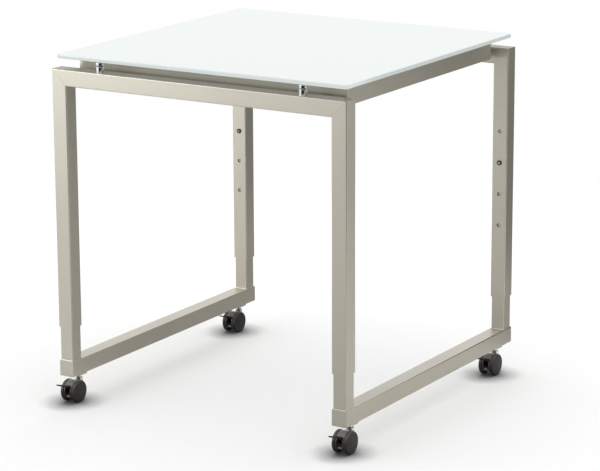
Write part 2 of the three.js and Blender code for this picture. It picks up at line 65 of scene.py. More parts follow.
MM = 0.001
SMOOTH_ANGLE = math.radians(32)
MERGE_DISTANCE = 1e-7
SHARP = 60
BORE_ROUND = 32
ROUND = 48
FINE_ROUND = 72
SIDES = ((-1, "left"), (1, "right"))
NO_SHIFT = (0.0, 0.0, 0.0)
WHITE = (1.0, 1.0, 1.0, 1.0)
GROUND_BODY = "left_foot"
TOP_BODY = "table_frame"
FLOOR_CARD = 0.2 * MM

Colour = tuple[float, float, float, float]
Cut = Callable[[float, float], float]
Profile = Sequence[tuple[float, float]]
Socket = bpy.types.NodeSocket
Value = Socket | float | Sequence[float]

# Socket places of the colour Mix node
MIX_FACTOR = 0
MIX_A = 6
MIX_B = 7
MIX_RESULT = 2


class Axis(Enum):
    """A main direction of the frame."""

    X = 0
    Y = 1
    Z = 2

    @property
    def others(self) -> tuple[int, int]:
        """The two remaining coordinates, in order."""
        return tuple(i for i in range(3) if i != self.value)

    def point(self, along: float, first: float, second: float) -> Vector:
        """Makes a point.

        Args:
            along: Its place along the axis.
            first: The first of its other coordinates.
            second: The second of them.

        Returns:
            The point.
        """
        place = [first, second]
        place.insert(self.value, along)
        return Vector(place)


class Corner(Enum):
    """A corner of the table, with its name and its side along X and Y."""

    FRONT_LEFT = ("front_left", -1, -1)
    FRONT_RIGHT = ("front_right", 1, -1)
    BACK_LEFT = ("back_left", -1, 1)
    BACK_RIGHT = ("back_right", 1, 1)

    @property
    def label(self) -> str:
        """The corner's name in the frame."""
        return self.value[0]

    @property
    def side_x(self) -> int:
        """-1 at the left, 1 at the right."""
        return self.value[1]

    @property
    def side_y(self) -> int:
        """-1 at the front, 1 at the back."""
        return self.value[2]

    @property
    def foot(self) -> str:
        """The body of the foot frame under this corner."""
        return "left_foot" if self.side_x < 0 else "right_foot"


class Slot(Enum):
    """The record's material slots."""

    GLASS = "white_glass"
    STEEL = "satin_steel"
    CHROME = "polished_chrome"
    SCREW = "dark_screw"
    AXLE = "axle_steel"
    CASTER = "caster_plastic"
    WHEEL = "wheel_plastic"


def tone(red: int, green: int, blue: int) -> Colour:
    """Turns a screen colour into the linear colour that shaders take.

    Args:
        red: Red, 0 to 255.
        green: Green, 0 to 255.
        blue: Blue, 0 to 255.

    Returns:
        The linear colour with full alpha.
    """

    def linear(level: int) -> float:
        """Undoes the screen curve for one channel."""
        share = level / 255
        return share / 12.92 if share <= 0.04045 else ((share + 0.055) / 1.055) ** 2.4

    return (linear(red), linear(green), linear(blue), 1.0)


class Wiring:
    """Adds nodes to one node tree and joins them."""

    def __init__(self, tree: bpy.types.NodeTree) -> None:
        """Takes the tree that the nodes go into."""
        self.tree = tree

    @classmethod
    def fresh(cls, owner: bpy.types.ID) -> Wiring:
        """Empties the node tree of a material or a world.

        Args:
            owner: The material or world.

        Returns:
            The wiring of its empty tree.
        """
        owner.use_nodes = True
        owner.node_tree.nodes.clear()
        return cls(owner.node_tree)

    def add(self, kind: str, inputs: dict | None = None, **settings) -> bpy.types.Node:
        """Adds a node.

        Args:
            kind: The node's type name.
            inputs: Values or sockets for its inputs, by name or place.
            **settings: Values of the node's own properties.

        Returns:
            The new node.
        """
        node = self.tree.nodes.new(kind)
        for key, value in settings.items():
            setattr(node, key, value)
        for key, value in (inputs or {}).items():
            if isinstance(value, Socket):
                self.tree.links.new(value, node.inputs[key])
            else:
                node.inputs[key].default_value = value
        return node

    def math(self, operation: str, first: Value, second: Value = 0.0) -> Socket:
        """Adds a Math node on two values or sockets and returns its result."""
        return self.add("ShaderNodeMath", {0: first, 1: second}, operation=operation).outputs[0]

    def blend(self, first: Value, share: float, second: Value) -> Socket:
        """Adds two values, the first by a share and the second by the rest, and returns the sum."""
        rest = self.math("MULTIPLY", second, 1.0 - share)
        return self.math("ADD", self.math("MULTIPLY", first, share), rest)

    def mix(self, factor: Value, first: Value, second: Value) -> Socket:
        """Mixes two colours by a factor and returns the result."""
        inputs = {MIX_FACTOR: factor, MIX_A: first, MIX_B: second}
        return self.add("ShaderNodeMix", inputs, data_type="RGBA").outputs[MIX_RESULT]

    def noise(self, vector: Socket, scale: Value, detail: float) -> Socket:
        """Adds a noise texture and returns its value."""
        inputs = {"Vector": vector, "Scale": scale, "Detail": detail}
        return self.add("ShaderNodeTexNoise", inputs).outputs[0]

    def ramp(self, value: Socket, limits: dict, **settings) -> Socket:
        """Maps a value from one range onto another, both 0 to 1 where no limit is given, and returns it."""
        return self.add("ShaderNodeMapRange", {"Value": value, **limits}, **settings).outputs[0]

    def recolour(self, shader: bpy.types.Node, factor: Socket, colour: Colour) -> None:
        """Lays a colour over the linked base colour of a shader.

        Args:
            shader: The shader.
            factor: The share of the colour.
            colour: The colour.
        """
        base = shader.inputs["Base Color"]
        self.tree.links.new(self.mix(factor, base.links[0].from_socket, colour), base)


class Effect(Enum):
    """A shared shader effect, with its name and the sockets that it takes and gives."""

    DRAWN_GRAIN = ("Drawn grain", ("Vector", "Density"), ("Height", "Streaks"))
    HANDLING_HAZE = (
        "Handling haze",
        ("Vector", "Size", "Colour", "Tint", "Roughness", "Spread"),
        ("Colour", "Roughness"),
    )
    MOULDED_SKIN = ("Moulded skin", ("Vector", "Density"), ("Height",))


class SharedEffects:
    """Shader node groups that more than one material uses, each built once."""

    KINDS = {"Vector": "NodeSocketVector", "Colour": "NodeSocketColor", "Tint": "NodeSocketColor"}
    LINE_DETAIL = 2.0
    LINE_SHARE = 0.65
    STREAK_SCALE = 0.1
    STREAK_DETAIL = 4.0
    CLOUD_DETAIL = 5.0
    CLOUD_SHARE = 0.7
    SMEAR_SCALE = 9.0
    SMEAR_DETAIL = 3.0
    NOISE_MIDDLE = 0.5
    CELL_SHARE = 0.6
    GRIT_SCALE = 2.5
    GRIT_DETAIL = 2.0
    _groups: ClassVar[dict[Effect, bpy.types.NodeTree]] = {}

    @classmethod
    def use(cls, wires: Wiring, effect: Effect, inputs: dict) -> bpy.types.NodeOutputs:
        """Places an effect in a material, and builds its group at the first use.

        Args:
            wires: The material's wiring.
            effect: Which effect.
            inputs: Values or sockets for the group's inputs, by name.

        Returns:
            The outputs of the placed group.
        """
        if effect not in cls._groups:
            cls._groups[effect] = cls._build(effect)
        return wires.add("ShaderNodeGroup", inputs, node_tree=cls._groups[effect]).outputs

    @classmethod
    def _build(cls, effect: Effect) -> bpy.types.NodeTree:
        """Builds the group of an effect.

        Args:
            effect: Which effect.

        Returns:
            The group.
        """
        name, takes, gives = effect.value
        tree = bpy.data.node_groups.new(name, "ShaderNodeTree")
        for side, labels in (("INPUT", takes), ("OUTPUT", gives)):
            for label in labels:
                kind = cls.KINDS.get(label, "NodeSocketFloat")
                tree.interface.new_socket(name=label, in_out=side, socket_type=kind)
        makers = {
            Effect.DRAWN_GRAIN: cls._drawn_grain,
            Effect.HANDLING_HAZE: cls._handling_haze,
            Effect.MOULDED_SKIN: cls._moulded_skin,
        }
        wires = Wiring(tree)
        given = wires.add("NodeGroupInput").outputs
        wires.add("NodeGroupOutput", makers[effect](wires, given))
        return tree

    @classmethod
    def _drawn_grain(cls, wires: Wiring, given: bpy.types.NodeOutputs) -> dict[str, Socket]:
        """Fine lines along a stretched direction, with broader streaks between them.

        Args:
            wires: The group's wiring.
            given: The group's inputs.

        Returns:
            A height and a streak mask.
        """
        lines = wires.noise(given["Vector"], given["Density"], cls.LINE_DETAIL)
        coarse = wires.math("MULTIPLY", given["Density"], cls.STREAK_SCALE)
        streaks = wires.noise(given["Vector"], coarse, cls.STREAK_DETAIL)
        return {"Height": wires.blend(lines, cls.LINE_SHARE, streaks), "Streaks": streaks}

    @classmethod
    def _handling_haze(cls, wires: Wiring, given: bpy.types.NodeOutputs) -> dict[str, Socket]:
        """Soft cloudy marks of wiping and handling, which shift colour and gloss a little.

        Args:
            wires: The group's wiring.
            given: The group's inputs.

        Returns:
            A colour and a roughness.
        """
        clouds = wires.noise(given["Vector"], given["Size"], cls.CLOUD_DETAIL)
        small = wires.math("MULTIPLY", given["Size"], cls.SMEAR_SCALE)
        smears = wires.noise(given["Vector"], small, cls.SMEAR_DETAIL)
        marks = wires.blend(clouds, cls.CLOUD_SHARE, smears)
        level = wires.math("SUBTRACT", marks, cls.NOISE_MIDDLE)
        rough = wires.math("ADD", given["Roughness"], wires.math("MULTIPLY", level, given["Spread"]))
        return {"Colour": wires.mix(marks, given["Colour"], given["Tint"]), "Roughness": rough}

    @classmethod
    def _moulded_skin(cls, wires: Wiring, given: bpy.types.NodeOutputs) -> dict[str, Socket]:
        """The fine pebbled skin of a moulded plastic.

        Args:
            wires: The group's wiring.
            given: The group's inputs.

        Returns:
            A height.
        """
        cells = wires.add("ShaderNodeTexVoronoi", {"Vector": given["Vector"], "Scale": given["Density"]})
        fine = wires.math("MULTIPLY", given["Density"], cls.GRIT_SCALE)
        grit = wires.noise(given["Vector"], fine, cls.GRIT_DETAIL)
        pebbles = wires.math("MULTIPLY", cells.outputs["Distance"], cls.CELL_SHARE)
        return {"Height": wires.math("ADD", pebbles, grit)}


@dataclass(frozen=True)
class Finish:
    """What every finish has: a name, its colours, its gloss and the depth of its relief."""

    name: str
    slot: Slot
    colour: Colour
    tint: Colour
    roughness: float
    spread: float = 0.1
    cloud_size: float = 7.0
    metallic: float = 0.0
    specular: float = 0.5
    relief_share: float = 0.0
    relief_depth: float = 0.0
    _built: ClassVar[dict[str, bpy.types.Material]] = {}

    def material(self) -> bpy.types.Material:
        """Builds the material, or gives the one already built.

        Returns:
            The finish's material.
        """
        if self.name in self._built:
            return self._built[self.name]
        made = self._built[self.name] = bpy.data.materials.new(self.name)
        made.diffuse_color = self.colour
        wires = Wiring.fresh(made)
        place = wires.add("ShaderNodeTexCoord").outputs["Object"]
        marks = {
            "Vector": place,
            "Size": self.cloud_size,
            "Colour": self.colour,
            "Tint": self.tint,
            "Roughness": self.roughness,
            "Spread": self.spread,
        }
        haze = SharedEffects.use(wires, Effect.HANDLING_HAZE, marks)
        inputs = {
            "Base Color": haze["Colour"],
            "Roughness": haze["Roughness"],
            "Metallic": self.metallic,
            "Specular IOR Level": self.specular,
        }
        shader = wires.add("ShaderNodeBsdfPrincipled", inputs)
        self.detail(wires, place, shader)
        wires.add("ShaderNodeOutputMaterial", {"Surface": shader.outputs[0]})
        return made

    def detail(self, wires: Wiring, place: Socket, shader: bpy.types.Node) -> None:
        """Adds what the finish has besides haze; a plain finish adds nothing."""

    def relief(self, wires: Wiring, shader: bpy.types.Node, height: Socket) -> None:
        """Joins a height to the shader's normal.

        Args:
            wires: The material's wiring.
            shader: The material's shader.
            height: The socket that holds the height.
        """
        inputs = {"Height": height, "Strength": self.relief_share, "Distance": self.relief_depth}
        bump = wires.add("ShaderNodeBump", inputs)
        wires.tree.links.new(bump.outputs[0], shader.inputs["Normal"])


@dataclass(frozen=True)
class DrawnMetal(Finish):
    """Metal with fine lines that run along a stretched direction."""

    grain_density: float = 1200.0

    def lines(self, wires: Wiring, place: Socket, stretch: Sequence[float]) -> bpy.types.NodeOutputs:
        """Places the lines.

        Args:
            wires: The material's wiring.
            place: The surface's coordinates.
            stretch: Scale along each axis, small where the lines run.

        Returns:
            A height and a streak mask.
        """
        along = wires.add("ShaderNodeMapping", {"Vector": place, "Scale": stretch}).outputs[0]
        inputs = {"Vector": along, "Density": self.grain_density}
        return SharedEffects.use(wires, Effect.DRAWN_GRAIN, inputs)


@dataclass(frozen=True)
class SatinSteel(DrawnMetal):
    """Satin steel with its grain along one axis and rubbed, brighter edges."""

    relief_share: float = 0.12
    relief_depth: float = 0.05 * MM
    grain_density: float = 1800.0
    grain: Axis = Axis.Z
    grain_stretch: float = 0.012
    grain_gloss: float = 0.04
    streak_share: float = 0.22
    streak_colour: Colour = tone(172, 166, 152)
    edge_colour: Colour = tone(206, 202, 192)
    edge_share: float = 0.1
    edge_polish: float = 0.16

    def detail(self, wires: Wiring, place: Socket, shader: bpy.types.Node) -> None:
        """Adds grain lines, streaks and rubbed edges.

        Args:
            wires: The material's wiring.
            place: The surface's coordinates.
            shader: The material's shader.
        """
        stretch = [1.0, 1.0, 1.0]
        stretch[self.grain.value] = self.grain_stretch
        grain = self.lines(wires, place, stretch)
        streaks = wires.math("MULTIPLY", grain["Streaks"], self.streak_share)
        wires.recolour(shader, streaks, self.streak_colour)
        rim = wires.add("ShaderNodeAttribute", attribute_name="rim").outputs["Fac"]
        wires.recolour(shader, wires.math("MULTIPLY", rim, self.edge_share), self.edge_colour)
        rough = shader.inputs["Roughness"]
        limits = {"To Min": -self.grain_gloss, "To Max": self.grain_gloss}
        lined = wires.math("ADD", rough.links[0].from_socket, wires.ramp(grain["Height"], limits))
        smooth = wires.math("SUBTRACT", lined, wires.math("MULTIPLY", rim, self.edge_polish))
        wires.tree.links.new(smooth, rough)
        self.relief(wires, shader, grain["Height"])


@dataclass(frozen=True)
class Plated(DrawnMetal):
    """Bright plated metal with faint polishing lines."""

    relief_share: float = 0.05
    relief_depth: float = 0.02 * MM
    line_stretch: tuple[float, float, float] = (0.05, 0.05, 1.0)

    def detail(self, wires: Wiring, place: Socket, shader: bpy.types.Node) -> None:
        """Adds polishing lines round the piece."""
        self.relief(wires, shader, self.lines(wires, place, self.line_stretch)["Height"])


@dataclass(frozen=True)
class Moulded(Finish):
    """Moulded plastic with a fine pebbled skin, and a painted sheen that lightens what faces up, in place of
    the highlight of light from above.
    """

    relief_share: float = 0.25
    relief_depth: float = 0.06 * MM
    skin_density: float = 1400.0
    dust_colour: Colour = tone(158, 153, 148)
    dust_share: float = 0.0
    dust_rise: tuple[float, float] = (0.05, 0.85)

    def detail(self, wires: Wiring, place: Socket, shader: bpy.types.Node) -> None:
        """Adds the moulded skin and the painted sheen on what faces up.

        Args:
            wires: The material's wiring.
            place: The surface's coordinates.
            shader: The material's shader.
        """
        inputs = {"Vector": place, "Density": self.skin_density}
        skin = SharedEffects.use(wires, Effect.MOULDED_SKIN, inputs)
        self.relief(wires, shader, skin["Height"])
        if self.dust_share:
            # Painted sheen: the more a face turns up, the lighter it is, standing in for the highlight of
            # light from above.
            normal = wires.add("ShaderNodeNewGeometry").outputs["Normal"]
            rise = wires.add("ShaderNodeSeparateXYZ", {0: normal}).outputs["Z"]
            start, full = self.dust_rise
            limits = {"From Min": start, "From Max": full, "To Max": self.dust_share}
            sheen_mask = wires.ramp(rise, limits, interpolation_type="SMOOTHSTEP")
            wires.recolour(shader, sheen_mask, self.dust_colour)


@dataclass(frozen=True)
class CoatedGlass(Finish):
    """Glass with a white coat behind it: deep, even and glossy."""

    relief_share: float = 0.08
    relief_depth: float = 0.2 * MM
    roll_size: float = 9.0
    roll_detail: float = 1.0

    def detail(self, wires: Wiring, place: Socket, shader: bpy.types.Node) -> None:
        """Adds the faint roll of float glass."""
        self.relief(wires, shader, wires.noise(place, self.roll_size, self.roll_detail))


@dataclass(frozen=True)
class PolishedEdge(Finish):
    """The polished edge of a glass plate: green-grey in its depth, paler at the arrises."""

    low: float = 0.854
    high: float = 0.864
    middle: float = 0.45
    pale_gain: float = 1.8
    pale_power: float = 3.0
    arris_colour: Colour = tone(232, 240, 237)
    coat: float = 0.5

    def detail(self, wires: Wiring, place: Socket, shader: bpy.types.Node) -> None:
        """Lightens the edge towards the top and bottom arris.

        Args:
            wires: The material's wiring.
            place: The surface's coordinates.
            shader: The material's shader.
        """
        height = wires.add("ShaderNodeSeparateXYZ", {0: place}).outputs["Z"]
        share = wires.ramp(height, {"From Min": self.low, "From Max": self.high})
        off_middle = wires.math("ABSOLUTE", wires.math("SUBTRACT", share, self.middle))
        pale = wires.math("POWER", wires.math("MULTIPLY", off_middle, self.pale_gain), self.pale_power)
        wires.recolour(shader, pale, self.arris_colour)
        shader.inputs["Coat Weight"].default_value = self.coat


def satin_steel(grain: Axis) -> SatinSteel:
    """The frame's satin steel, drawn along an axis.

    Args:
        grain: The axis that the grain follows.

    Returns:
        The finish.
    """
    return SatinSteel(
        name=f"satin_steel_{grain.name.lower()}",
        slot=Slot.STEEL,
        colour=tone(186, 181, 168),
        tint=tone(174, 169, 156),
        roughness=0.4,
        metallic=0.75,
        grain=grain,
    )


CHROME = Plated("chrome_plate", Slot.CHROME, tone(228, 229, 229), tone(208, 210, 212), 0.1, metallic=1.0)
GROOVE = Plated("standoff_groove", Slot.CHROME, tone(66, 64, 60), tone(52, 50, 47), 0.4, metallic=0.6)
PAD = Moulded("clear_pad", Slot.CHROME, tone(196, 202, 200), tone(180, 188, 186), 0.35)
SCREW = Plated("black_oxide", Slot.SCREW, tone(72, 68, 64), tone(54, 50, 47), 0.34, metallic=0.85)
SOCKET = Plated("bright_socket", Slot.SCREW, tone(214, 214, 220), tone(196, 196, 202), 0.4, metallic=0.6)
HOLE_RIM = Plated("hole_rim", Slot.STEEL, tone(126, 112, 92), tone(104, 92, 76), 0.42, metallic=0.8)
AXLE = Plated("turned_steel", Slot.AXLE, tone(186, 186, 184), tone(160, 160, 158), 0.28, metallic=1.0)
SPRING = Plated("spring_steel", Slot.CASTER, tone(226, 226, 224), tone(204, 204, 202), 0.3, metallic=0.9)
# Bright strips along the hood's side edges: a painted highlight.
HOOD_EDGE_HIGHLIGHT = Plated("hood_edge_highlight", Slot.CASTER, tone(176, 174, 170), tone(156, 154, 150), 0.45, metallic=0.7)
# A weld lighter than the frame's steel: a painted highlight along the foot of each inner leg.
WELD_HIGHLIGHT = Plated("weld_painted_highlight", Slot.STEEL, tone(208, 204, 194), tone(194, 190, 180), 0.34, metallic=0.8)
HOOD = Moulded(
    "black_nylon",
    Slot.CASTER,
    tone(46, 43, 41),
    tone(36, 33, 32),
    0.3,
    relief_depth=0.02 * MM,
    dust_share=0.8,
)
LEVER = Moulded("lever_nylon", Slot.CASTER, tone(34, 31, 30), tone(26, 24, 23), 0.6, specular=0.15)
WHEEL = Moulded(
    "wheel_nylon",
    Slot.WHEEL,
    tone(36, 31, 29),
    tone(28, 24, 22),
    0.45,
    cloud_size=40.0,
    specular=0.3,
    dust_share=0.3,
)
GLASS_FACE = CoatedGlass(
    "coated_glass", Slot.GLASS, tone(228, 235, 233), tone(232, 238, 236), 0.06, spread=0.03, cloud_size=2.0
)
GLASS_BACK = Moulded("glass_back_coat", Slot.GLASS, tone(224, 230, 228), tone(214, 220, 218), 0.5)


class Workshop:
    """Mesh making that several sub-assemblies share."""

    @staticmethod
    def make_object(name: str, data: bpy.types.ID | None = None) -> bpy.types.Object:
        """Puts a mesh, light or camera in the scene under a name.

        Args:
            name: Name of the object.
            data: What it shows, an empty mesh if it is None.

        Returns:
            The new object.
        """
        made = bpy.data.objects.new(name, data or bpy.data.meshes.new(name))
        bpy.context.scene.collection.objects.link(made)
        return made

    @staticmethod
    def from_bmesh(name: str, form: bmesh.types.BMesh) -> bpy.types.Object:
        """Turns an edit mesh into an object with its faces outwards.

        Args:
            name: Name of the object.
            form: The edit mesh, which is freed.

        Returns:
            The new object.
        """
        bmesh.ops.remove_doubles(form, verts=form.verts, dist=MERGE_DISTANCE)
        bmesh.ops.recalc_face_normals(form, faces=form.faces)
        mesh = bpy.data.meshes.new(name)
        form.to_mesh(mesh)
        form.free()
        return Workshop.make_object(name, mesh)

    @staticmethod
    def apply_modifiers(piece: bpy.types.Object) -> None:
        """Replaces a piece's mesh by what its modifiers make of it.

        Args:
            piece: The piece, which is left without modifiers.
        """
        graph = bpy.context.evaluated_depsgraph_get()
        graph.update()
        old = piece.data
        piece.data = bpy.data.meshes.new_from_object(piece.evaluated_get(graph))
        piece.modifiers.clear()
        bpy.data.meshes.remove(old)

    @staticmethod
    def combine(piece: bpy.types.Object, others: Sequence[bpy.types.Object], operation: str) -> None:
        """Joins other solids to a piece or cuts them out of it.

        Args:
            piece: The solid that stays.
            others: The solids that are used up.
            operation: UNION or DIFFERENCE.
        """
        for other in others:
            step = piece.modifiers.new(operation.lower(), "BOOLEAN")
            step.operation = operation
            step.solver = "EXACT"
            step.object = other
        Workshop.apply_modifiers(piece)
        for other in others:
            mesh = other.data
            bpy.data.objects.remove(other)
            bpy.data.meshes.remove(mesh)

    @staticmethod
    def soften(piece: bpy.types.Object, width: float, segments: int, angle: float = SHARP) -> None:
        """Rounds a piece's sharp edges.

        Args:
            piece: The piece.
            width: Width of the rounding.
            segments: Steps of the rounding.
            angle: Edges sharper than this many degrees are rounded.
        """
        step = piece.modifiers.new("soft_edges", "BEVEL")
        step.width = width
        step.segments = segments
        step.limit_method = "ANGLE"
        step.angle_limit = math.radians(angle)
        Workshop.apply_modifiers(piece)

    @staticmethod
    def polish(piece: bpy.types.Object) -> None:
        """Shades a piece smoothly, with flat faces kept flat.

        Args:
            piece: The piece.
        """
        piece.data.shade_smooth()
        piece.data.set_sharp_from_angle(angle=SMOOTH_ANGLE)
        step = piece.modifiers.new("even_normals", "WEIGHTED_NORMAL")
        step.keep_sharp = True
        Workshop.apply_modifiers(piece)

    @staticmethod
    def hand_over(piece: bpy.types.Object, body: str, slot: Slot, *nodes: str) -> None:
        """Lets a finished piece ride on its body and stand for its nodes.

        Args:
            piece: The finished piece.
            body: The body that carries it.
            slot: The record's material slot; not used.
            *nodes: The nodes that it stands for.
        """
        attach(piece, body)
        if nodes:
            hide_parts(*nodes)
        log.info("%s on %s, %d faces", piece.name, body, len(piece.data.polygons))

    @staticmethod
    def stand(piece: bpy.types.Object, body: str) -> None:
        """Makes a piece part of the studio, which goes with a body when the legs are drawn out."""
        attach(piece, body)

    @staticmethod
    def dress(piece: bpy.types.Object, finish: Finish) -> None:
        """Gives a piece one finish all over."""
        piece.data.materials.clear()
        piece.data.materials.append(finish.material())

    @staticmethod
    def complete(piece: bpy.types.Object, finish: Finish, body: str, *nodes: str) -> None:
        """Smooths, dresses and hands over a piece of one finish.

        Args:
            piece: The piece.
            finish: Its finish.
            body: The body that carries it.
            *nodes: The nodes that it stands for, none for a detail that the frame leaves out.
        """
        Workshop.polish(piece)
        Workshop.dress(piece, finish)
        Workshop.hand_over(piece, body, finish.slot, *nodes)

    @staticmethod
    def middle(node: str) -> Vector:
        """The middle of a node's box."""
        low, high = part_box(node)
        return (low + high) / 2

    @staticmethod
    def arc(centre: tuple[float, float], radius: float, first: float, last: float, steps: int) -> list:
        """Points on an arc.

        Args:
            centre: The arc's centre.
            radius: Its radius.
            first: Start angle in degrees.
            last: End angle in degrees.
            steps: Number of steps.

        Returns:
            The points, both ends included.
        """
        angles = (math.radians(first + (last - first) * i / steps) for i in range(steps + 1))
        return [(centre[0] + radius * math.cos(a), centre[1] + radius * math.sin(a)) for a in angles]

    @staticmethod
    def rectangle(width: float, depth: float) -> list:
        """The corners of a rectangle about the origin."""
        u, v = width / 2, depth / 2
        return [(-u, -v), (u, -v), (u, v), (-u, v)]

    @staticmethod
    def rounded_outline(width: float, height: float, radius: float, steps: int) -> list:
        """A rounded rectangle about the origin, counted anticlockwise.

        Args:
            width: Size along the first coordinate.
            height: Size along the second coordinate.
            radius: Radius of the corners.
            steps: Steps of each corner.

        Returns:
            Points of two coordinates and a rim value, 1 in the middle of each corner.
        """
        points = []
        sides = ((1, 1), (-1, 1), (-1, -1), (1, -1))
        for quarter, (side_u, side_v) in enumerate(sides):
            centre = (side_u * (width / 2 - radius), side_v * (height / 2 - radius))
            bend = Workshop.arc(centre, radius, 90 * quarter, 90 * quarter + 90, steps)
            points += [(u, v, math.sin(math.pi * i / steps)) for i, (u, v) in enumerate(bend)]
        return points

    @staticmethod
    def lathe(
        name: str, profile: Profile, axis: Axis, origin: Vector, flip: int = 1, count: int = ROUND
    ) -> bpy.types.Object:
        """Turns a profile about an axis.

        Args:
            name: Name of the object.
            profile: Radius and height of each point, from axis to axis.
            axis: The axis of the turning.
            origin: Where height 0 lies on the axis.
            flip: -1 counts heights against the axis.
            count: Sides of the round.

        Returns:
            The turned object.
        """
        form = bmesh.new()
        u, v = axis.others
        rings = []
        for radius, height in profile:
            ring = []
            for i in range(count if radius > 0 else 1):
                angle = 2 * math.pi * i / count
                place = Vector(origin)
                place[axis.value] += flip * height
                place[u] += radius * math.cos(angle)
                place[v] += radius * math.sin(angle)
                ring.append(form.verts.new(place))
            rings.append(ring)
        for low, high in zip(rings, rings[1:]):
            for i in range(count):
                quad = [low[i % len(low)], low[(i + 1) % len(low)]]
                quad += [high[(i + 1) % len(high)], high[i % len(high)]]
                corners = list(dict.fromkeys(quad))
                if len(corners) > 2:
                    form.faces.new(corners)
        return Workshop.from_bmesh(name, form)

    @staticmethod
    def bridge(form: bmesh.types.BMesh, first: Sequence, second: Sequence) -> None:
        """Joins two rings by faces.

        Args:
            form: The edit mesh that holds them.
            first: Points of one ring.
            second: Points of the other, in the same order.
        """
        count = len(first)
        for i in range(count):
            after = (i + 1) % count
            form.faces.new((first[i], first[after], second[after], second[i]))

    @staticmethod
    def prism(name: str, outline: Sequence, axis: Axis, low: float, high: float) -> bpy.types.Object:
        """Draws a closed outline out along an axis.

        Args:
            name: Name of the object.
            outline: Points in the two other coordinates.
            axis: The direction of the draw.
            low: Where it starts.
            high: Where it ends.

        Returns:
            The solid.
        """
        form = bmesh.new()
        ends = []
        for level in (low, high):
            ends.append([form.verts.new(axis.point(level, *point[:2])) for point in outline])
        Workshop.bridge(form, *ends)
        for ring in ends:
            form.faces.new(ring)
        return Workshop.from_bmesh(name, form)

    @staticmethod
    def rounded_plate(
        name: str, low: Vector, high: Vector, radius: float, steps: int, edge: float, edge_steps: int
    ) -> bpy.types.Object:
        """A flat plate with rounded corners and softened edges.

        Args:
            name: Name of the object.
            low: Lowest corner of its box.
            high: Highest corner of its box.
            radius: Radius of the corners.
            steps: Steps of each corner.
            edge: Width of the softened edges.
            edge_steps: Steps of these edges.

        Returns:
            The plate.
        """
        middle = (low + high) / 2
        outline = Workshop.rounded_outline(high.x - low.x, high.y - low.y, radius, steps)
        points = [(middle.x + u, middle.y + v) for u, v, _ in outline]
        plate = Workshop.prism(name, points, Axis.Z, low.z, high.z)
        Workshop.soften(plate, edge, edge_steps)
        return plate

    @staticmethod
    def rod(
        name: str, axis: Axis, centre: Vector, radius: float, low: float, high: float, count: int = BORE_ROUND
    ) -> bpy.types.Object:
        """A plain round rod, used for bores and hubs.

        Args:
            name: Name of the object.
            axis: Its direction.
            centre: A point on its axis.
            radius: Its radius.
            low: Where it starts along the axis.
            high: Where it ends.
            count: Sides of the round.

        Returns:
            The rod.
        """
        origin = Vector(centre)
        origin[axis.value] = 0
        profile = [(0, low), (radius, low), (radius, high), (0, high)]
        return Workshop.lathe(name, profile, axis, origin, count=count)


@dataclass
class SquareTube:
    """A hollow tube with rounded edges, whose ends may be cut at a slant.

    Attributes:
        name: Name of the piece.
        axis: Direction of the tube.
        low: Lowest corner of its box.
        high: Highest corner of its box.
        wall: Wall thickness.
        radius: Radius of the long edges.
        start: Place of the near end, worked out from the two other coordinates.
        end: Place of the far end.
        closed: Whether both ends are shut.
        edge_steps: Steps of each long edge.
        least_radius: Smallest radius of the inner edges.
    """

    name: str
    axis: Axis
    low: Vector
    high: Vector
    wall: float = 2 * MM
    radius: float = 2.5 * MM
    start: Cut | None = None
    end: Cut | None = None
    closed: bool = False
    edge_steps: int = 6
    least_radius: float = 0.5 * MM

    def build(self) -> bpy.types.Object:
        """Builds the tube.

        Returns:
            The tube, with a rim value on its long edges.
        """
        u, v = self.axis.others
        size_u, size_v = self.high[u] - self.low[u], self.high[v] - self.low[v]
        outer = Workshop.rounded_outline(size_u, size_v, self.radius, self.edge_steps)
        inner_radius = max(self.radius - self.wall, self.least_radius)
        inner_size = (size_u - 2 * self.wall, size_v - 2 * self.wall)
        inner = Workshop.rounded_outline(*inner_size, inner_radius, self.edge_steps)
        form = bmesh.new()
        rim = form.verts.layers.float.new("rim")
        cuts = (
            self.start or (lambda a, b: self.low[self.axis.value]),
            self.end or (lambda a, b: self.high[self.axis.value]),
        )
        skins = [[self._ring(form, rim, outline, cut) for cut in cuts] for outline in (outer, inner)]
        Workshop.bridge(form, *skins[0])
        if self.closed:
            for ring in skins[0]:
                form.faces.new(ring)
            bmesh.ops.delete(form, geom=skins[1][0] + skins[1][1], context="VERTS")
        else:
            Workshop.bridge(form, *skins[1])
            for outside, inside in zip(*skins):
                Workshop.bridge(form, outside, inside)
        return Workshop.from_bmesh(self.name, form)

    def _ring(
        self, form: bmesh.types.BMesh, rim: bmesh.types.BMLayerItem, outline: Sequence, cut: Cut
    ) -> list[bmesh.types.BMVert]:
        """Adds the ring of points at one end.

        Args:
            form: The edit mesh.
            rim: Its layer of rim values.
            outline: Points with a rim value, about the middle of the tube.
            cut: Place of the end, worked out from the two other coordinates.

        Returns:
            The ring.
        """
        u, v = self.axis.others
        middle = (self.low + self.high) / 2
        ring = []
        for point_u, point_v, rim_value in outline:
            place = self.axis.point(0, middle[u] + point_u, middle[v] + point_v)
            place[self.axis.value] = cut(place[u], place[v])
            vert = form.verts.new(place)
            vert[rim] = rim_value
            ring.append(vert)
        return ring


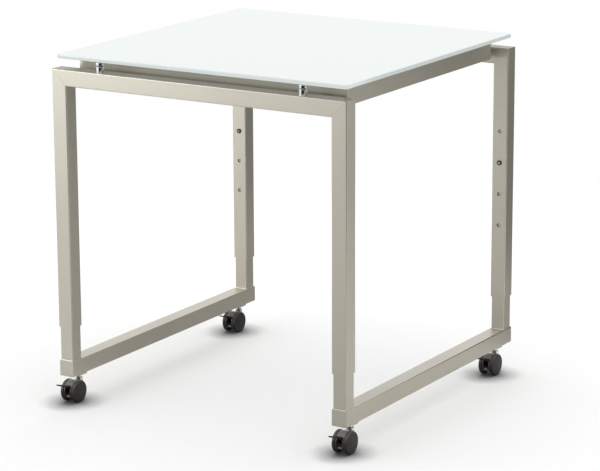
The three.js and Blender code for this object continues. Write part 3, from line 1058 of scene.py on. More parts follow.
class LatticeOfCopies:
    """A Geometry Nodes tree that sets copies of a template on a lattice, each turned by a step."""

    INPUTS = {
        "Geometry": "NodeSocketGeometry",
        "Template": "NodeSocketObject",
        "Count": "NodeSocketInt",
        "Row Length": "NodeSocketInt",
        "Start": "NodeSocketVector",
        "Step": "NodeSocketVector",
        "Row Step": "NodeSocketVector",
        "Turn": "NodeSocketVector",
        "Material": "NodeSocketMaterial",
    }

    def __init__(self) -> None:
        """Builds the tree."""
        self.tree = bpy.data.node_groups.new("Lattice of copies", "GeometryNodeTree")
        self.sockets = {
            name: self.tree.interface.new_socket(name=name, in_out="INPUT", socket_type=kind).identifier
            for name, kind in self.INPUTS.items()
        }
        self.tree.interface.new_socket(name="Geometry", in_out="OUTPUT", socket_type="NodeSocketGeometry")
        wires = Wiring(self.tree)
        given = wires.add("NodeGroupInput").outputs
        index = wires.add("GeometryNodeInputIndex").outputs[0]
        column = wires.math("MODULO", index, given["Row Length"])
        row = wires.math("FLOOR", wires.math("DIVIDE", index, given["Row Length"]))
        along = self._scaled(wires, given["Step"], column)
        across = self._scaled(wires, given["Row Step"], row)
        place = self._sum(wires, given["Start"], self._sum(wires, along, across))
        points = wires.add("GeometryNodePoints", {"Count": given["Count"], "Position": place})
        template = wires.add("GeometryNodeObjectInfo", {"Object": given["Template"]})
        turn = wires.add("FunctionNodeEulerToRotation", {0: self._scaled(wires, given["Turn"], index)})
        inputs = {
            "Points": points.outputs[0],
            "Instance": template.outputs["Geometry"],
            "Rotation": turn.outputs[0],
        }
        copies = wires.add("GeometryNodeInstanceOnPoints", inputs)
        joined = wires.add("GeometryNodeJoinGeometry")
        for geometry in (given["Geometry"], copies.outputs[0]):
            self.tree.links.new(geometry, joined.inputs[0])
        real = wires.add("GeometryNodeRealizeInstances", {"Geometry": joined.outputs[0]})
        inputs = {"Geometry": real.outputs[0], "Material": given["Material"]}
        dressed = wires.add("GeometryNodeSetMaterial", inputs)
        wires.add("NodeGroupOutput", {"Geometry": dressed.outputs[0]})

    @staticmethod
    def _scaled(wires: Wiring, vector: Socket, factor: Socket) -> Socket:
        """Scales a vector by a factor."""
        return wires.add("ShaderNodeVectorMath", {0: vector, "Scale": factor}, operation="SCALE").outputs[0]

    @staticmethod
    def _sum(wires: Wiring, first: Socket, second: Socket) -> Socket:
        """Adds two vectors."""
        return wires.add("ShaderNodeVectorMath", {0: first, 1: second}, operation="ADD").outputs[0]

    def spread(
        self, base: bpy.types.Object, template: bpy.types.Object, finish: Finish, count: int, **places
    ) -> bpy.types.Object:
        """Adds copies of a template to a piece and makes the result a plain mesh.

        Args:
            base: The piece that the copies join, which may be empty.
            template: The shape to copy, which is used up.
            finish: The finish of the result.
            count: How many copies.
            **places: row_length, start, step, row_step and turn, where they are needed.

        Returns:
            The piece.
        """
        modifier = base.modifiers.new("copies", "NODES")
        modifier.node_group = self.tree
        values = {
            "Template": template,
            "Count": count,
            "Row Length": places.get("row_length", count),
            "Material": finish.material(),
        }
        for name in ("Start", "Step", "Row Step", "Turn"):
            values[name] = tuple(places.get(name.lower().replace(" ", "_"), NO_SHIFT))
        for name, value in values.items():
            modifier[self.sockets[name]] = value
        Workshop.apply_modifiers(base)
        bpy.data.objects.remove(template)
        return base

    @staticmethod
    def over_corners(nodes: Sequence[str]) -> dict:
        """How copies reach the four nodes of a kind, which stand at the table's corners.

        Args:
            nodes: The nodes, in the order of the corners.

        Returns:
            The row length and the two steps of the lattice.
        """
        first, right, back = (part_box(node)[0] for node in nodes[:3])
        steps = {"step": (right.x - first.x, 0, 0), "row_step": (0, back.y - first.y, 0)}
        return {"row_length": 2, **steps}


@dataclass
class GlassTop:
    """The glass plate, with polished edges and a white coat behind it."""

    node: str = "glass_top"
    corner_radius: float = 6 * MM
    corner_steps: int = 10
    arris: float = 1 * MM
    arris_steps: int = 3
    flat_share: float = 0.9
    edge_gloss: float = 0.08
    edge_colour: Colour = tone(219, 228, 224)
    edge_tint: Colour = tone(225, 232, 229)

    def build(self) -> None:
        """Builds the plate with its three faces finished apart."""
        low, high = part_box(self.node)
        rounding = (self.corner_radius, self.corner_steps, self.arris, self.arris_steps)
        plate = Workshop.rounded_plate("glass_plate", low, high, *rounding)
        Workshop.polish(plate)
        edge = PolishedEdge(
            "glass_edge",
            Slot.GLASS,
            self.edge_colour,
            self.edge_tint,
            self.edge_gloss,
            low=low.z,
            high=high.z,
        )
        for finish in (GLASS_FACE, edge, GLASS_BACK):
            plate.data.materials.append(finish.material())
        for face in plate.data.polygons:
            face.material_index = 1
            if abs(face.normal.z) > self.flat_share:
                face.material_index = 0 if face.normal.z > 0 else 2
        Workshop.hand_over(plate, TOP_BODY, Slot.GLASS, self.node)


@dataclass
class Standoffs:
    """The four grooved standoffs that carry the glass, each with a clear pad on top."""

    lattice: LatticeOfCopies
    base_height: float = 13 * MM
    groove_height: float = 2 * MM
    groove_depth: float = 2.5 * MM
    cap_height: float = 8 * MM
    pad_inset: float = 1.8 * MM
    edge: float = 0.8 * MM
    edge_steps: int = 4
    band_sunk: float = 0.5 * MM
    band_proud: float = 0.1 * MM
    band_gap: float = 0.05 * MM

    def build(self) -> None:
        """Builds posts, groove rings and pads, four of each."""
        nodes = [f"glass_standoff_{corner.label}" for corner in Corner]
        low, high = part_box(nodes[0])
        start = Workshop.middle(nodes[0])
        start.z = low.z
        spread = {"start": start, **self.lattice.over_corners(nodes)}
        radius = (high.x - low.x) / 2
        neck = radius - self.groove_depth
        groove_top = self.base_height + self.groove_height
        cap_top = groove_top + self.cap_height
        height = high.z - low.z
        edge = radius - self.edge
        post = [(0, 0), (radius, 0), *self._round_over(radius, self.base_height)]
        post += [(neck, self.base_height), (neck, groove_top), (edge, groove_top)]
        post += Workshop.arc((edge, groove_top + self.edge), self.edge, -90, 0, self.edge_steps)
        post += [*self._round_over(radius, cap_top), (0, cap_top)]
        inner, outer = neck - self.band_sunk, neck + self.band_proud
        low_end, high_end = self.base_height + self.band_gap, groove_top - self.band_gap
        band = [(inner, low_end), (outer, low_end), (outer, high_end), (inner, high_end), (inner, low_end)]
        pad_radius = radius - self.pad_inset
        pad = [(0, cap_top), (pad_radius, cap_top), (pad_radius, height), (0, height)]
        self._set("standoff_posts", post, CHROME, spread, nodes)
        self._set("standoff_grooves", band, GROOVE, spread, [])
        self._set("standoff_pads", pad, PAD, spread, [])

    def _round_over(self, radius: float, top: float) -> list:
        """The rounded upper edge of a drum."""
        return Workshop.arc((radius - self.edge, top - self.edge), self.edge, 0, 90, self.edge_steps)

    def _set(self, name: str, profile: Profile, finish: Finish, spread: dict, nodes: list[str]) -> None:
        """Turns a profile and sets four copies of it on the beams.

        Args:
            name: Name of the piece.
            profile: Radius and height of each point.
            finish: The finish of the copies.
            spread: Places of the copies.
            nodes: The nodes that they stand for.
        """
        template = Workshop.lathe(f"{name}_template", profile, Axis.Z, NO_SHIFT)
        Workshop.polish(template)
        base = Workshop.make_object(name)
        piece = self.lattice.spread(base, template, finish, len(Corner), **spread)
        Workshop.hand_over(piece, TOP_BODY, finish.slot, *nodes)


@dataclass
class Goalposts:
    """Front and back goalposts: mitred beams and outer legs with their index holes."""

    lattice: LatticeOfCopies
    seam: float = 0.05 * MM
    hole_count: int = 4
    hole_pitch: float = 80 * MM
    hole_radius: float = 4.5 * MM
    top_hole_drop: float = 209 * MM
    drill_reach: float = 6 * MM
    rim_width: float = 0.45 * MM
    rim_steps: int = 12

    def build(self) -> None:
        """Builds both beams, the four legs and the rims of their holes."""
        for side in ("front", "back"):
            self._beam(side)
        for corner in Corner:
            self._leg(corner)
            self._hole_rims(corner)

    def _beam(self, side: str) -> None:
        """Builds one top beam, mitred at both ends.

        Args:
            side: front or back.
        """
        node = f"{side}_beam"
        low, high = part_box(node)

        def near(_: float, z: float) -> float:
            """The left mitre."""
            return low.x + (high.z - z) + self.seam

        def far(_: float, z: float) -> float:
            """The right mitre."""
            return high.x - (high.z - z) - self.seam

        tube = SquareTube(f"{side}_beam_tube", Axis.X, low, high, start=near, end=far)
        Workshop.complete(tube.build(), satin_steel(Axis.X), TOP_BODY, node)

    def _leg(self, corner: Corner) -> None:
        """Builds one outer leg, mitred at the top and drilled on its inner face.

        Args:
            corner: The leg's corner.
        """
        node = f"outer_leg_{corner.label}"
        low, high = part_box(node)
        outside = high.x if corner.side_x > 0 else low.x
        beam_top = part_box("front_beam")[1].z

        def top(x: float, _: float) -> float:
            """The mitre under the beam."""
            return beam_top - abs(outside - x) - self.seam

        piece = SquareTube(f"outer_leg_tube_{corner.label}", Axis.Z, low, high, end=top).build()
        x, face, z = self._top_hole(corner)
        ends = (face - self.drill_reach, face + self.drill_reach)
        drills = []
        for i in range(self.hole_count):
            centre = Vector((x, 0, z - i * self.hole_pitch))
            drills.append(Workshop.rod(f"drill_{i}", Axis.Y, centre, self.hole_radius, *ends))
        Workshop.combine(piece, drills, "DIFFERENCE")
        Workshop.complete(piece, satin_steel(Axis.Z), TOP_BODY, node)

    def _top_hole(self, corner: Corner) -> tuple[float, float, float]:
        """Finds the highest index hole of a leg.

        Args:
            corner: The leg's corner.

        Returns:
            The hole's middle on the face towards the inside of the table.
        """
        low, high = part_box(f"outer_leg_{corner.label}")
        face = low.y if corner.side_y > 0 else high.y
        return ((low.x + high.x) / 2, face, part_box("front_beam")[1].z - self.top_hole_drop)

    def _hole_rims(self, corner: Corner) -> None:
        """Sets a rolled rim round each index hole of a leg.

        Args:
            corner: The leg's corner.
        """
        circle = Workshop.arc((0, 0), 1.0, 0, 360, self.rim_steps)
        rim = [(self.hole_radius + self.rim_width * u, self.rim_width * v) for u, v in circle]
        template = Workshop.lathe("rim_template", rim, Axis.Y, NO_SHIFT, count=BORE_ROUND)
        Workshop.polish(template)
        base = Workshop.make_object(f"index_hole_rims_{corner.label}")
        places = {"start": Vector(self._top_hole(corner)), "step": (0, 0, -self.hole_pitch)}
        piece = self.lattice.spread(base, template, HOLE_RIM, self.hole_count, **places)
        Workshop.hand_over(piece, TOP_BODY, HOLE_RIM.slot)


@dataclass
class TieFrame:
    """The inset frame under the glass and the welded stubs that carry it."""

    lattice: LatticeOfCopies
    seam: float = 0.05 * MM
    stub_edge: float = 1 * MM

    def build(self) -> None:
        """Builds the four mitred tubes and the stubs."""
        for name, axis, side in (
            ("front", Axis.X, -1),
            ("back", Axis.X, 1),
            ("left", Axis.Y, -1),
            ("right", Axis.Y, 1),
        ):
            self._tube(name, axis, side)
        self._stubs()

    def _tube(self, name: str, axis: Axis, side: int) -> None:
        """Builds one tube with mitred ends.

        Args:
            name: Which of the four it is.
            axis: Its direction.
            side: -1 where its outer face looks to the negative side.
        """
        node = f"tie_{name}_tube"
        low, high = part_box(node)
        across = axis.others[0]
        outside = low[across] if side < 0 else high[across]

        def near(a: float, _: float) -> float:
            """The mitre at the low end."""
            return low[axis.value] + abs(a - outside) + self.seam

        def far(a: float, _: float) -> float:
            """The mitre at the high end."""
            return high[axis.value] - abs(a - outside) - self.seam

        tube = SquareTube(f"tie_frame_{name}", axis, low, high, start=near, end=far)
        Workshop.complete(tube.build(), satin_steel(axis), TOP_BODY, node)

    def _stubs(self) -> None:
        """Builds one stub and sets it at the four places."""
        nodes = [f"tie_stub_{corner.label}" for corner in Corner]
        low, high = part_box(nodes[0])
        radius = (high.x - low.x) / 2
        length = high.y - low.y
        edge = self.stub_edge
        profile = [(0, 0), (radius - edge, 0), (radius, edge)]
        profile += [(radius, length - edge), (radius - edge, length), (0, length)]
        template = Workshop.lathe("stub_template", profile, Axis.Y, NO_SHIFT)
        Workshop.polish(template)
        start = Workshop.middle(nodes[0])
        start.y = low.y
        places = {"start": start, **self.lattice.over_corners(nodes)}
        base = Workshop.make_object("tie_frame_stubs")
        piece = self.lattice.spread(base, template, satin_steel(Axis.Y), len(Corner), **places)
        Workshop.hand_over(piece, TOP_BODY, Slot.STEEL, *nodes)


@dataclass
class FootFrames:
    """The foot rails and the inner legs that slide in the outer ones."""

    inner_wall: float = 2 * MM
    inner_radius: float = 2 * MM
    screw_hole: float = 4 * MM
    end_edge: float = 0.6 * MM
    end_steps: int = 2
    end_sharp: float = 70
    stem_clearance: float = 0.3 * MM
    stem_hole_depth: float = 25 * MM
    drill_start: float = 5 * MM
    weld_size: float = 1.4 * MM
    weld_sunk: float = 1.2 * MM
    weld_corner_steps: int = 6
    weld_round: float = 0.9
    weld_steps: int = 4

    def build(self) -> None:
        """Builds both rails, the four inner legs and the welds between them."""
        for _, side in SIDES:
            self._rail(side)
        for corner in Corner:
            self._inner_leg(corner)
            self._weld(corner)

    def _weld(self, corner: Corner) -> None:
        """Runs a weld round the foot of an inner leg, in a lighter finish that paints the highlight along the
        leg's foot.

        Args:
            corner: The leg's corner.
        """
        low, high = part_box(f"inner_leg_{corner.label}")
        size = self.weld_size
        start = low - Vector((size, size, self.weld_sunk))
        end = Vector((high.x + size, high.y + size, low.z + size))
        rounding = (self.inner_radius + size, self.weld_corner_steps, size * self.weld_round, self.weld_steps)
        piece = Workshop.rounded_plate(f"leg_weld_{corner.label}", start, end, *rounding)
        Workshop.complete(piece, WELD_HIGHLIGHT, corner.foot)

    def _rail(self, side: str) -> None:
        """Builds one rail with welded ends, drilled for its two caster stems.

        Args:
            side: left or right.
        """
        node = f"foot_rail_{side}"
        body = f"{side}_foot"
        low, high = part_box(node)
        piece = SquareTube(f"foot_rail_tube_{side}", Axis.Y, low, high, closed=True).build()
        Workshop.soften(piece, self.end_edge, self.end_steps, self.end_sharp)
        ends = (low.z - self.drill_start, low.z + self.stem_hole_depth)
        drills = []
        for stem in (f"{corner.label}_caster_stem" for corner in Corner if corner.foot == body):
            stem_low, stem_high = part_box(stem)
            radius = (stem_high.x - stem_low.x) / 2 + self.stem_clearance
            drills.append(Workshop.rod("drill", Axis.Z, Workshop.middle(stem), radius, *ends))
        Workshop.combine(piece, drills, "DIFFERENCE")
        Workshop.complete(piece, satin_steel(Axis.Y), body, node)

    def _inner_leg(self, corner: Corner) -> None:
        """Builds one inner leg, drilled where the lock screw enters it.

        Args:
            corner: The leg's corner.
        """
        node = f"inner_leg_{corner.label}"
        low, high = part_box(node)
        name = f"inner_leg_tube_{corner.label}"
        tube = SquareTube(name, Axis.Z, low, high, wall=self.inner_wall, radius=self.inner_radius)
        piece = tube.build()
        face = low.y if corner.side_y > 0 else high.y
        ends = (face - 2 * self.inner_wall, face + 2 * self.inner_wall)
        middle = Workshop.middle(f"lock_screw_{corner.label}")
        Workshop.combine(piece, [Workshop.rod("drill", Axis.Y, middle, self.screw_hole, *ends)], "DIFFERENCE")
        Workshop.complete(piece, satin_steel(Axis.Z), corner.foot, node)


@dataclass
class LockScrews:
    """The domed socket screws that lock the legs."""

    head_height: float = 3.5 * MM
    shank_radius: float = 4 * MM
    dome: float = 2.1 * MM
    dome_steps: int = 8
    socket_across: float = 5 * MM
    socket_depth: float = 2.2 * MM
    socket_sides: int = 6

    def build(self) -> None:
        """Builds one screw for each leg."""
        for corner in Corner:
            self._screw(corner)

    def _screw(self, corner: Corner) -> None:
        """Turns a screw, cuts its hex socket and hands it to its own body.

        Args:
            corner: The corner of the leg that it locks.
        """
        node = f"lock_screw_{corner.label}"
        low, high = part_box(node)
        inward = -corner.side_y
        radius = (high.x - low.x) / 2
        length = (high.y - low.y) - self.head_height
        seat = (high.y if inward > 0 else low.y) - inward * self.head_height
        origin = Vector(((low.x + high.x) / 2, seat, (low.z + high.z) / 2))
        top = self.head_height
        profile = [(0, -length), (self.shank_radius, -length), (self.shank_radius, 0), (radius, 0)]
        profile += Workshop.arc((radius - self.dome, top - self.dome), self.dome, 0, 90, self.dome_steps)
        piece = Workshop.lathe(f"socket_screw_{corner.label}", [*profile, (0, top)], Axis.Y, origin, inward)
        socket_radius = self.socket_across / math.sqrt(3)
        ends = sorted(seat + inward * (top + side * self.socket_depth) for side in (-1, 1))
        socket = Workshop.rod("socket", Axis.Y, origin, socket_radius, *ends, self.socket_sides)
        Workshop.combine(piece, [socket], "DIFFERENCE")
        Workshop.polish(piece)
        Workshop.dress(piece, SCREW)
        piece.data.materials.append(SOCKET.material())
        for face in piece.data.polygons:
            off = math.hypot(face.center.x - origin.x, face.center.z - origin.z)
            if off < socket_radius and (face.center.y - seat) * inward > 0:
                face.material_index = 1
        Workshop.hand_over(piece, node, Slot.SCREW, node)


@dataclass
class Caster:
    """One braked twin-wheel caster under a corner of the table."""

    corner: Corner
    lattice: LatticeOfCopies
    corner_steps: int = 6
    edge_steps: int = 4
    fine_edge: float = 0.5 * MM
    fine_steps: int = 2
    overcut: float = 1 * MM
    wheel_edge: float = 2.5 * MM
    wheel_edge_steps: int = 5
    wheel_crown_steps: int = 4
    wheel_crown: float = 1.2 * MM
    wheel_rim: float = 6 * MM
    wheel_hub: float = 8 * MM
    wheel_recess: float = 3 * MM
    wheel_cap: float = 2.5 * MM
    groove_shares: tuple[float, ...] = (0.82, 0.6, 0.38)
    groove_depth: float = 0.4 * MM
    rib_count: int = 10
    rib_thickness: float = 1.2 * MM
    rib_sunk: float = 0.2 * MM
    rib_recess: float = 0.6 * MM
    clearance: float = 0.3 * MM
    axle_radius: float = 3 * MM
    hood_step: float = 0.5 * MM
    hood_skin: float = 3 * MM
    hood_wall: float = 2.5 * MM
    hood_edge: float = 1.4 * MM
    hood_floor: float = 12 * MM
    hood_mouth: float = 138
    hood_back_drop: float = 5 * MM
    boss_radius: float = 8.5 * MM
    boss_depth: float = 23 * MM
    boss_wall: float = 1 * MM
    boss_lip: float = 1 * MM
    stem_edge: float = 0.6 * MM
    stem_chamfer: float = 1.5 * MM
    stem_groove_drop: float = 6 * MM
    stem_groove: float = 0.8 * MM
    pin_radius: float = 4 * MM
    pin_depth: float = 19 * MM
    lever_angle: float = 146
    lever_thickness: float = 3 * MM
    lever_hub: float = 6.5 * MM
    lever_gap: float = 0.5 * MM
    pedal_kink: float = 16
    pedal_length: float = 32 * MM
    pedal_gap: float = 2.5 * MM
    pedal_corner: float = 4 * MM
    pedal_edge: float = 0.8 * MM
    pedal_steps: int = 3
    grip_count: int = 3
    grip_pitch: float = 4 * MM
    grip_proud: float = 0.35 * MM
    grip_steps: int = 12
    plate_corner: float = 4 * MM
    trim_width: float = 0.9 * MM
    trim_depth: float = 1 * MM
    trim_back: float = 72
    trim_proud: float = 0.1 * MM
    collar_height: float = 5.5 * MM
    collar_skin: float = 0.3 * MM
    collar_sunk: float = 0.2 * MM
    leaf_angle: float = 208
    leaf_reach: float = 24 * MM
    leaf_bend: float = 5 * MM
    leaf_half: float = 4.5 * MM
    leaf_gauge: float = 0.8 * MM
    axle: Vector = field(init=False)
    swivel: Vector = field(init=False)
    swivel_axis: Vector = field(init=False)
    radius: float = field(init=False)
    half: float = field(init=False)
    top: float = field(init=False)
    hood_reach: float = field(init=False)
    bore: float = field(init=False)

    def __post_init__(self) -> None:
        """Reads the caster's places from the frame."""
        self.axle = Workshop.middle(self._node("axle"))
        self.swivel = Workshop.middle(self._node("stem"))
        self.swivel_axis = Vector((self.swivel.x, self.swivel.y, 0))
        low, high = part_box(self._node("left_wheel"))
        self.radius = (high.z - low.z) / 2
        low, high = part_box(self._node("housing"))
        self.half = (high.x - low.x) / 2
        self.top = high.z
        self.hood_reach = self.radius - self.hood_step
        self.bore = self.axle_radius + self.clearance

    def build(self) -> None:
        """Builds every piece of the caster."""
        self._plate()
        self._stem()
        self._hood()
        self._axle()
        for side, name in SIDES:
            self._wheel(f"{name}_wheel", side)
        self._lever()
        self._trim()
        self._collar()
        self._brake_leaf()

    def _name(self, part: str) -> str:
        """The name of one of the caster's pieces or bodies."""
        return f"{self.corner.label}_{part}"

    def _node(self, part: str) -> str:
        """The name of one of the caster's nodes."""
        return self._name(f"caster_{part}")

    def _plate(self) -> None:
        """Builds the plate under the rail."""
        node = self._node("plate")
        low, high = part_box(node)
        rounding = (self.plate_corner, self.corner_steps, self.fine_edge, self.fine_steps)
        piece = Workshop.rounded_plate(self._name("mount_plate"), low, high, *rounding)
        stem_low, stem_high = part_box(self._node("stem"))
        hole = (stem_high.x - stem_low.x) / 2 + self.clearance
        ends = (low.z - self.overcut, high.z + self.overcut)
        Workshop.combine(piece, [Workshop.rod("drill", Axis.Z, self.swivel, hole, *ends)], "DIFFERENCE")
        Workshop.complete(piece, satin_steel(Axis.Y), self.corner.foot, node)

    def _stem(self) -> None:
        """Turns the stem with its ring groove and swivel pin."""
        node = self._node("stem")
        low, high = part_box(node)
        radius, pin, edge = (high.x - low.x) / 2, self.pin_radius, self.stem_edge
        shoulder = self.top + self.clearance
        middle, groove = high.z - self.stem_groove_drop, self.stem_groove
        profile = [(0, low.z), (pin - edge, low.z), (pin, low.z + edge)]
        profile += [(pin, shoulder), (radius - edge, shoulder), (radius, shoulder + edge)]
        profile += [(radius, middle - groove), (radius - groove, middle), (radius, middle + groove)]
        profile += [(radius, high.z - self.stem_chamfer), (radius - self.stem_chamfer, high.z), (0, high.z)]
        piece = Workshop.lathe(self._name("swivel_stem"), profile, Axis.Z, self.swivel_axis)
        Workshop.complete(piece, CHROME, self.corner.foot, node)

    def _hood(self) -> None:
        """Builds the hollow hood with its stem boss."""
        reach = self.hood_reach
        cut = math.degrees(math.asin((self.hood_floor - self.axle.z) / reach))
        round_outline = Workshop.arc((self.axle.y, self.axle.z), reach, cut, 180 - cut, FINE_ROUND)
        left, right = self.axle.x - self.half, self.axle.x + self.half
        piece = Workshop.prism(self._name("caster_hood"), round_outline, Axis.X, left, right)
        Workshop.soften(piece, self.hood_edge, self.edge_steps)
        bottom = self.top - self.boss_depth
        bridge_outline = [
            (self.axle.y, bottom),
            (self.swivel.y, bottom),
            (self.swivel.y, self.axle.z + reach - self.hood_back_drop),
            (self.axle.y, self.axle.z + reach),
        ]
        inset = self.hood_edge / 4
        bridge = Workshop.prism("bridge", bridge_outline, Axis.X, left + inset, right - inset)
        Workshop.soften(bridge, self.hood_edge, self.edge_steps)
        lip = self.boss_lip
        boss_profile = [(0, bottom), (self.boss_radius, bottom)]
        boss_profile += Workshop.arc((self.boss_radius - lip, self.top - lip), lip, 0, 90, self.edge_steps)
        boss = Workshop.lathe("boss", [*boss_profile, (0, self.top)], Axis.Z, self.swivel_axis)
        Workshop.combine(piece, [bridge, boss], "UNION")
        pin = self.pin_radius + self.clearance
        pin_ends = (self.top - self.pin_depth - self.clearance, self.top + self.overcut)
        inside = (left + self.hood_wall, right - self.hood_wall)
        tools = [
            Workshop.prism("hollow", self._hollow(), Axis.X, *inside),
            Workshop.rod("pivot", Axis.Z, self.swivel, pin, *pin_ends),
            Workshop.rod("bore", Axis.X, self.axle, self.bore, left - self.overcut, right + self.overcut),
        ]
        Workshop.combine(piece, tools, "DIFFERENCE")
        Workshop.complete(piece, HOOD, self._name("caster"), self._node("housing"))

    def _hollow(self) -> list:
        """The outline of the hood's hollow, open at the front below the lever and at the bottom.

        Returns:
            Points along Y and Z.
        """
        inner = self.hood_reach - self.hood_skin
        outside = self.hood_reach + self.hood_skin
        back = self.swivel.y - self.boss_radius - self.boss_wall
        back_angle = math.degrees(math.acos((back - self.axle.y) / inner))
        mouth = math.radians(self.hood_mouth)
        lip = (self.axle.y + outside * math.cos(mouth), self.axle.z + outside * math.sin(mouth))
        points = Workshop.arc((self.axle.y, self.axle.z), inner, back_angle, self.hood_mouth, ROUND // 2)
        front = self.axle.y - outside
        return [*points, lip, (front, lip[1]), (front, -self.overcut), (back, -self.overcut)]

    def _axle(self) -> None:
        """Turns the axle."""
        node = self._node("axle")
        low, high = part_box(node)
        edge, radius = self.fine_edge, self.axle_radius
        origin = Vector((0, self.axle.y, self.axle.z))
        profile = [(0, low.x), (radius - edge, low.x), (radius, low.x + edge)]
        profile += [(radius, high.x - edge), (radius - edge, high.x), (0, high.x)]
        piece = Workshop.lathe(self._name("wheel_axle"), profile, Axis.X, origin)
        Workshop.complete(piece, AXLE, self._name("caster"), node)

    def _wheel(self, name: str, side: int) -> None:
        """Turns one wheel and sets ribs in its hollow inner face.

        Args:
            name: left_wheel or right_wheel.
            side: -1 at the left, 1 at the right.
        """
        low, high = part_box(self._node(name))
        width = high.x - low.x
        origin = Vector((low.x if side > 0 else high.x, self.axle.y, self.axle.z))
        rim = self.radius - self.wheel_rim
        depth = width - self.wheel_cap
        edge, hub, recess = self.wheel_edge, self.wheel_hub, self.wheel_recess
        shoulder = self.radius - edge
        cap_edge = width - self.wheel_crown
        profile = [(0, depth), (self.bore, depth), (self.bore, 0)]
        profile += [(hub, 0), (hub, recess), (rim, recess), (rim, 0)]
        profile += Workshop.arc((shoulder, edge), edge, -90, 0, self.wheel_edge_steps)
        profile += Workshop.arc((shoulder, cap_edge - edge), edge, 0, 90, self.wheel_edge_steps)
        half_groove = 2 * self.groove_depth
        for share in self.groove_shares:
            groove = self.radius * share
            for offset, sunk in ((half_groove, 0), (0, self.groove_depth), (-half_groove, 0)):
                profile.append((groove + offset, self._crown(groove + offset, shoulder, width) - sunk))
        for i in range(1, self.wheel_crown_steps + 1):
            place = groove * (1 - i / self.wheel_crown_steps)
            profile.append((place, self._crown(place, shoulder, width)))
        piece = Workshop.lathe(self._name(f"{name}_tyre"), profile, Axis.X, origin, side, FINE_ROUND)
        Workshop.polish(piece)
        self._add_ribs(piece, origin, side, rim)
        Workshop.hand_over(piece, self._name(name), Slot.WHEEL, self._node(name))

    def _crown(self, place: float, shoulder: float, width: float) -> float:
        """Height of the crowned cap at a distance from the axle."""
        return width - self.wheel_crown * (place / shoulder) ** 2

    def _add_ribs(self, wheel: bpy.types.Object, origin: Vector, side: int, rim: float) -> None:
        """Sets ribs between a wheel's hub and rim.

        Args:
            wheel: The wheel.
            origin: The middle of its inner face.
            side: -1 at the left, 1 at the right.
            rim: Radius of the inside of the rim.
        """
        half = self.rib_thickness / 2
        start, end = self.wheel_hub - self.rib_sunk, rim + self.rib_sunk
        outline = [(-half, start), (half, start), (half, end), (-half, end)]
        ends = sorted((side * self.rib_recess, side * (self.wheel_recess + self.rib_sunk)))
        template = Workshop.prism("rib_template", outline, Axis.X, *ends)
        turn = (2 * math.pi / self.rib_count, 0, 0)
        self.lattice.spread(wheel, template, WHEEL, self.rib_count, start=origin, turn=turn)

    def _lever(self) -> None:
        """Builds the brake lever: hub, arm and a flatter pedal with grip ribs."""
        node = self._node("brake_lever")
        low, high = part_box(node)
        width = (high.x - low.x) / 2
        thick = self.lever_thickness / 2
        arm_half = self.half - self.hood_wall - self.lever_gap
        start = self.hood_reach + self.pedal_gap
        bend = Matrix.Translation((0, start, 0)) @ Matrix.Rotation(math.radians(self.pedal_kink), 4, "X")
        outline = Workshop.rounded_outline(2 * width, self.pedal_length, self.pedal_corner, self.corner_steps)
        pedal_points = [(u, self.pedal_length / 2 + v) for u, v, _ in outline]
        piece = Workshop.prism(self._name("brake_pedal"), pedal_points, Axis.Z, -thick, thick)
        Workshop.soften(piece, self.pedal_edge, self.pedal_steps)
        arm_end = start + thick
        arm_points = [(0, -thick), (arm_end, -thick), (arm_end, thick), (0, thick)]
        arm = Workshop.prism("arm", arm_points, Axis.X, -arm_half, arm_half)
        Workshop.soften(arm, self.fine_edge, self.fine_steps)
        centre = Vector(NO_SHIFT)
        hub = Workshop.rod("hub", Axis.X, centre, self.lever_hub, -arm_half, arm_half, ROUND)
        ends = (-arm_half - self.overcut, arm_half + self.overcut)
        drill = Workshop.rod("bore", Axis.X, centre, self.bore, *ends)
        for tool in (arm, hub, drill):
            tool.data.transform(bend.inverted())
        Workshop.combine(piece, [arm, hub], "UNION")
        Workshop.combine(piece, [drill], "DIFFERENCE")
        Workshop.polish(piece)
        self._add_grips(piece, width, thick)
        piece.data.transform(self._round_axle(self.lever_angle) @ bend)
        Workshop.hand_over(piece, self._name("brake_lever"), Slot.CASTER, node)

    def _round_axle(self, angle: float) -> Matrix:
        """Moves a shape to the axle and turns it about it, by an angle in degrees."""
        return Matrix.Translation(self.axle) @ Matrix.Rotation(math.radians(angle), 4, "X")

    def _add_grips(self, pedal: bpy.types.Object, width: float, thick: float) -> None:
        """Sets grip ribs across the pedal's upper face.

        Args:
            pedal: The lever, lying flat.
            width: Half its width.
            thick: Half its thickness.
        """
        proud = self.grip_proud
        grip = Workshop.arc((0, -thick), proud * 2, 0, 360, self.grip_steps)[:-1]
        reach = width - self.pedal_corner
        points = [(u, v + proud) for u, v in grip]
        template = Workshop.prism("grip_template", points, Axis.X, -reach, reach)
        start = (0, self.pedal_length - self.pedal_corner - self.grip_pitch * (self.grip_count - 1), 0)
        step = (0, self.grip_pitch, 0)
        self.lattice.spread(pedal, template, LEVER, self.grip_count, start=start, step=step)

    def _trim(self) -> None:
        """Sets a bright strip along both side edges of the hood, from the boss to the mouth: a painted
        highlight of the hood's rounded edges.
        """
        outer = self.hood_reach + self.trim_proud
        centre = (self.axle.y, self.axle.z)
        outline = Workshop.arc(centre, outer, self.trim_back, self.hood_mouth, ROUND // 2)
        outline += Workshop.arc(centre, outer - self.trim_depth, self.hood_mouth, self.trim_back, ROUND // 2)
        for side, name in SIDES:
            ends = sorted((side * (self.half - self.trim_proud), side * (self.half - self.trim_width)))
            places = [self.axle.x + end for end in ends]
            piece = Workshop.prism(self._name(f"hood_trim_{name}"), outline, Axis.X, *places)
            Workshop.complete(piece, HOOD_EDGE_HIGHLIGHT, self._name("caster"))

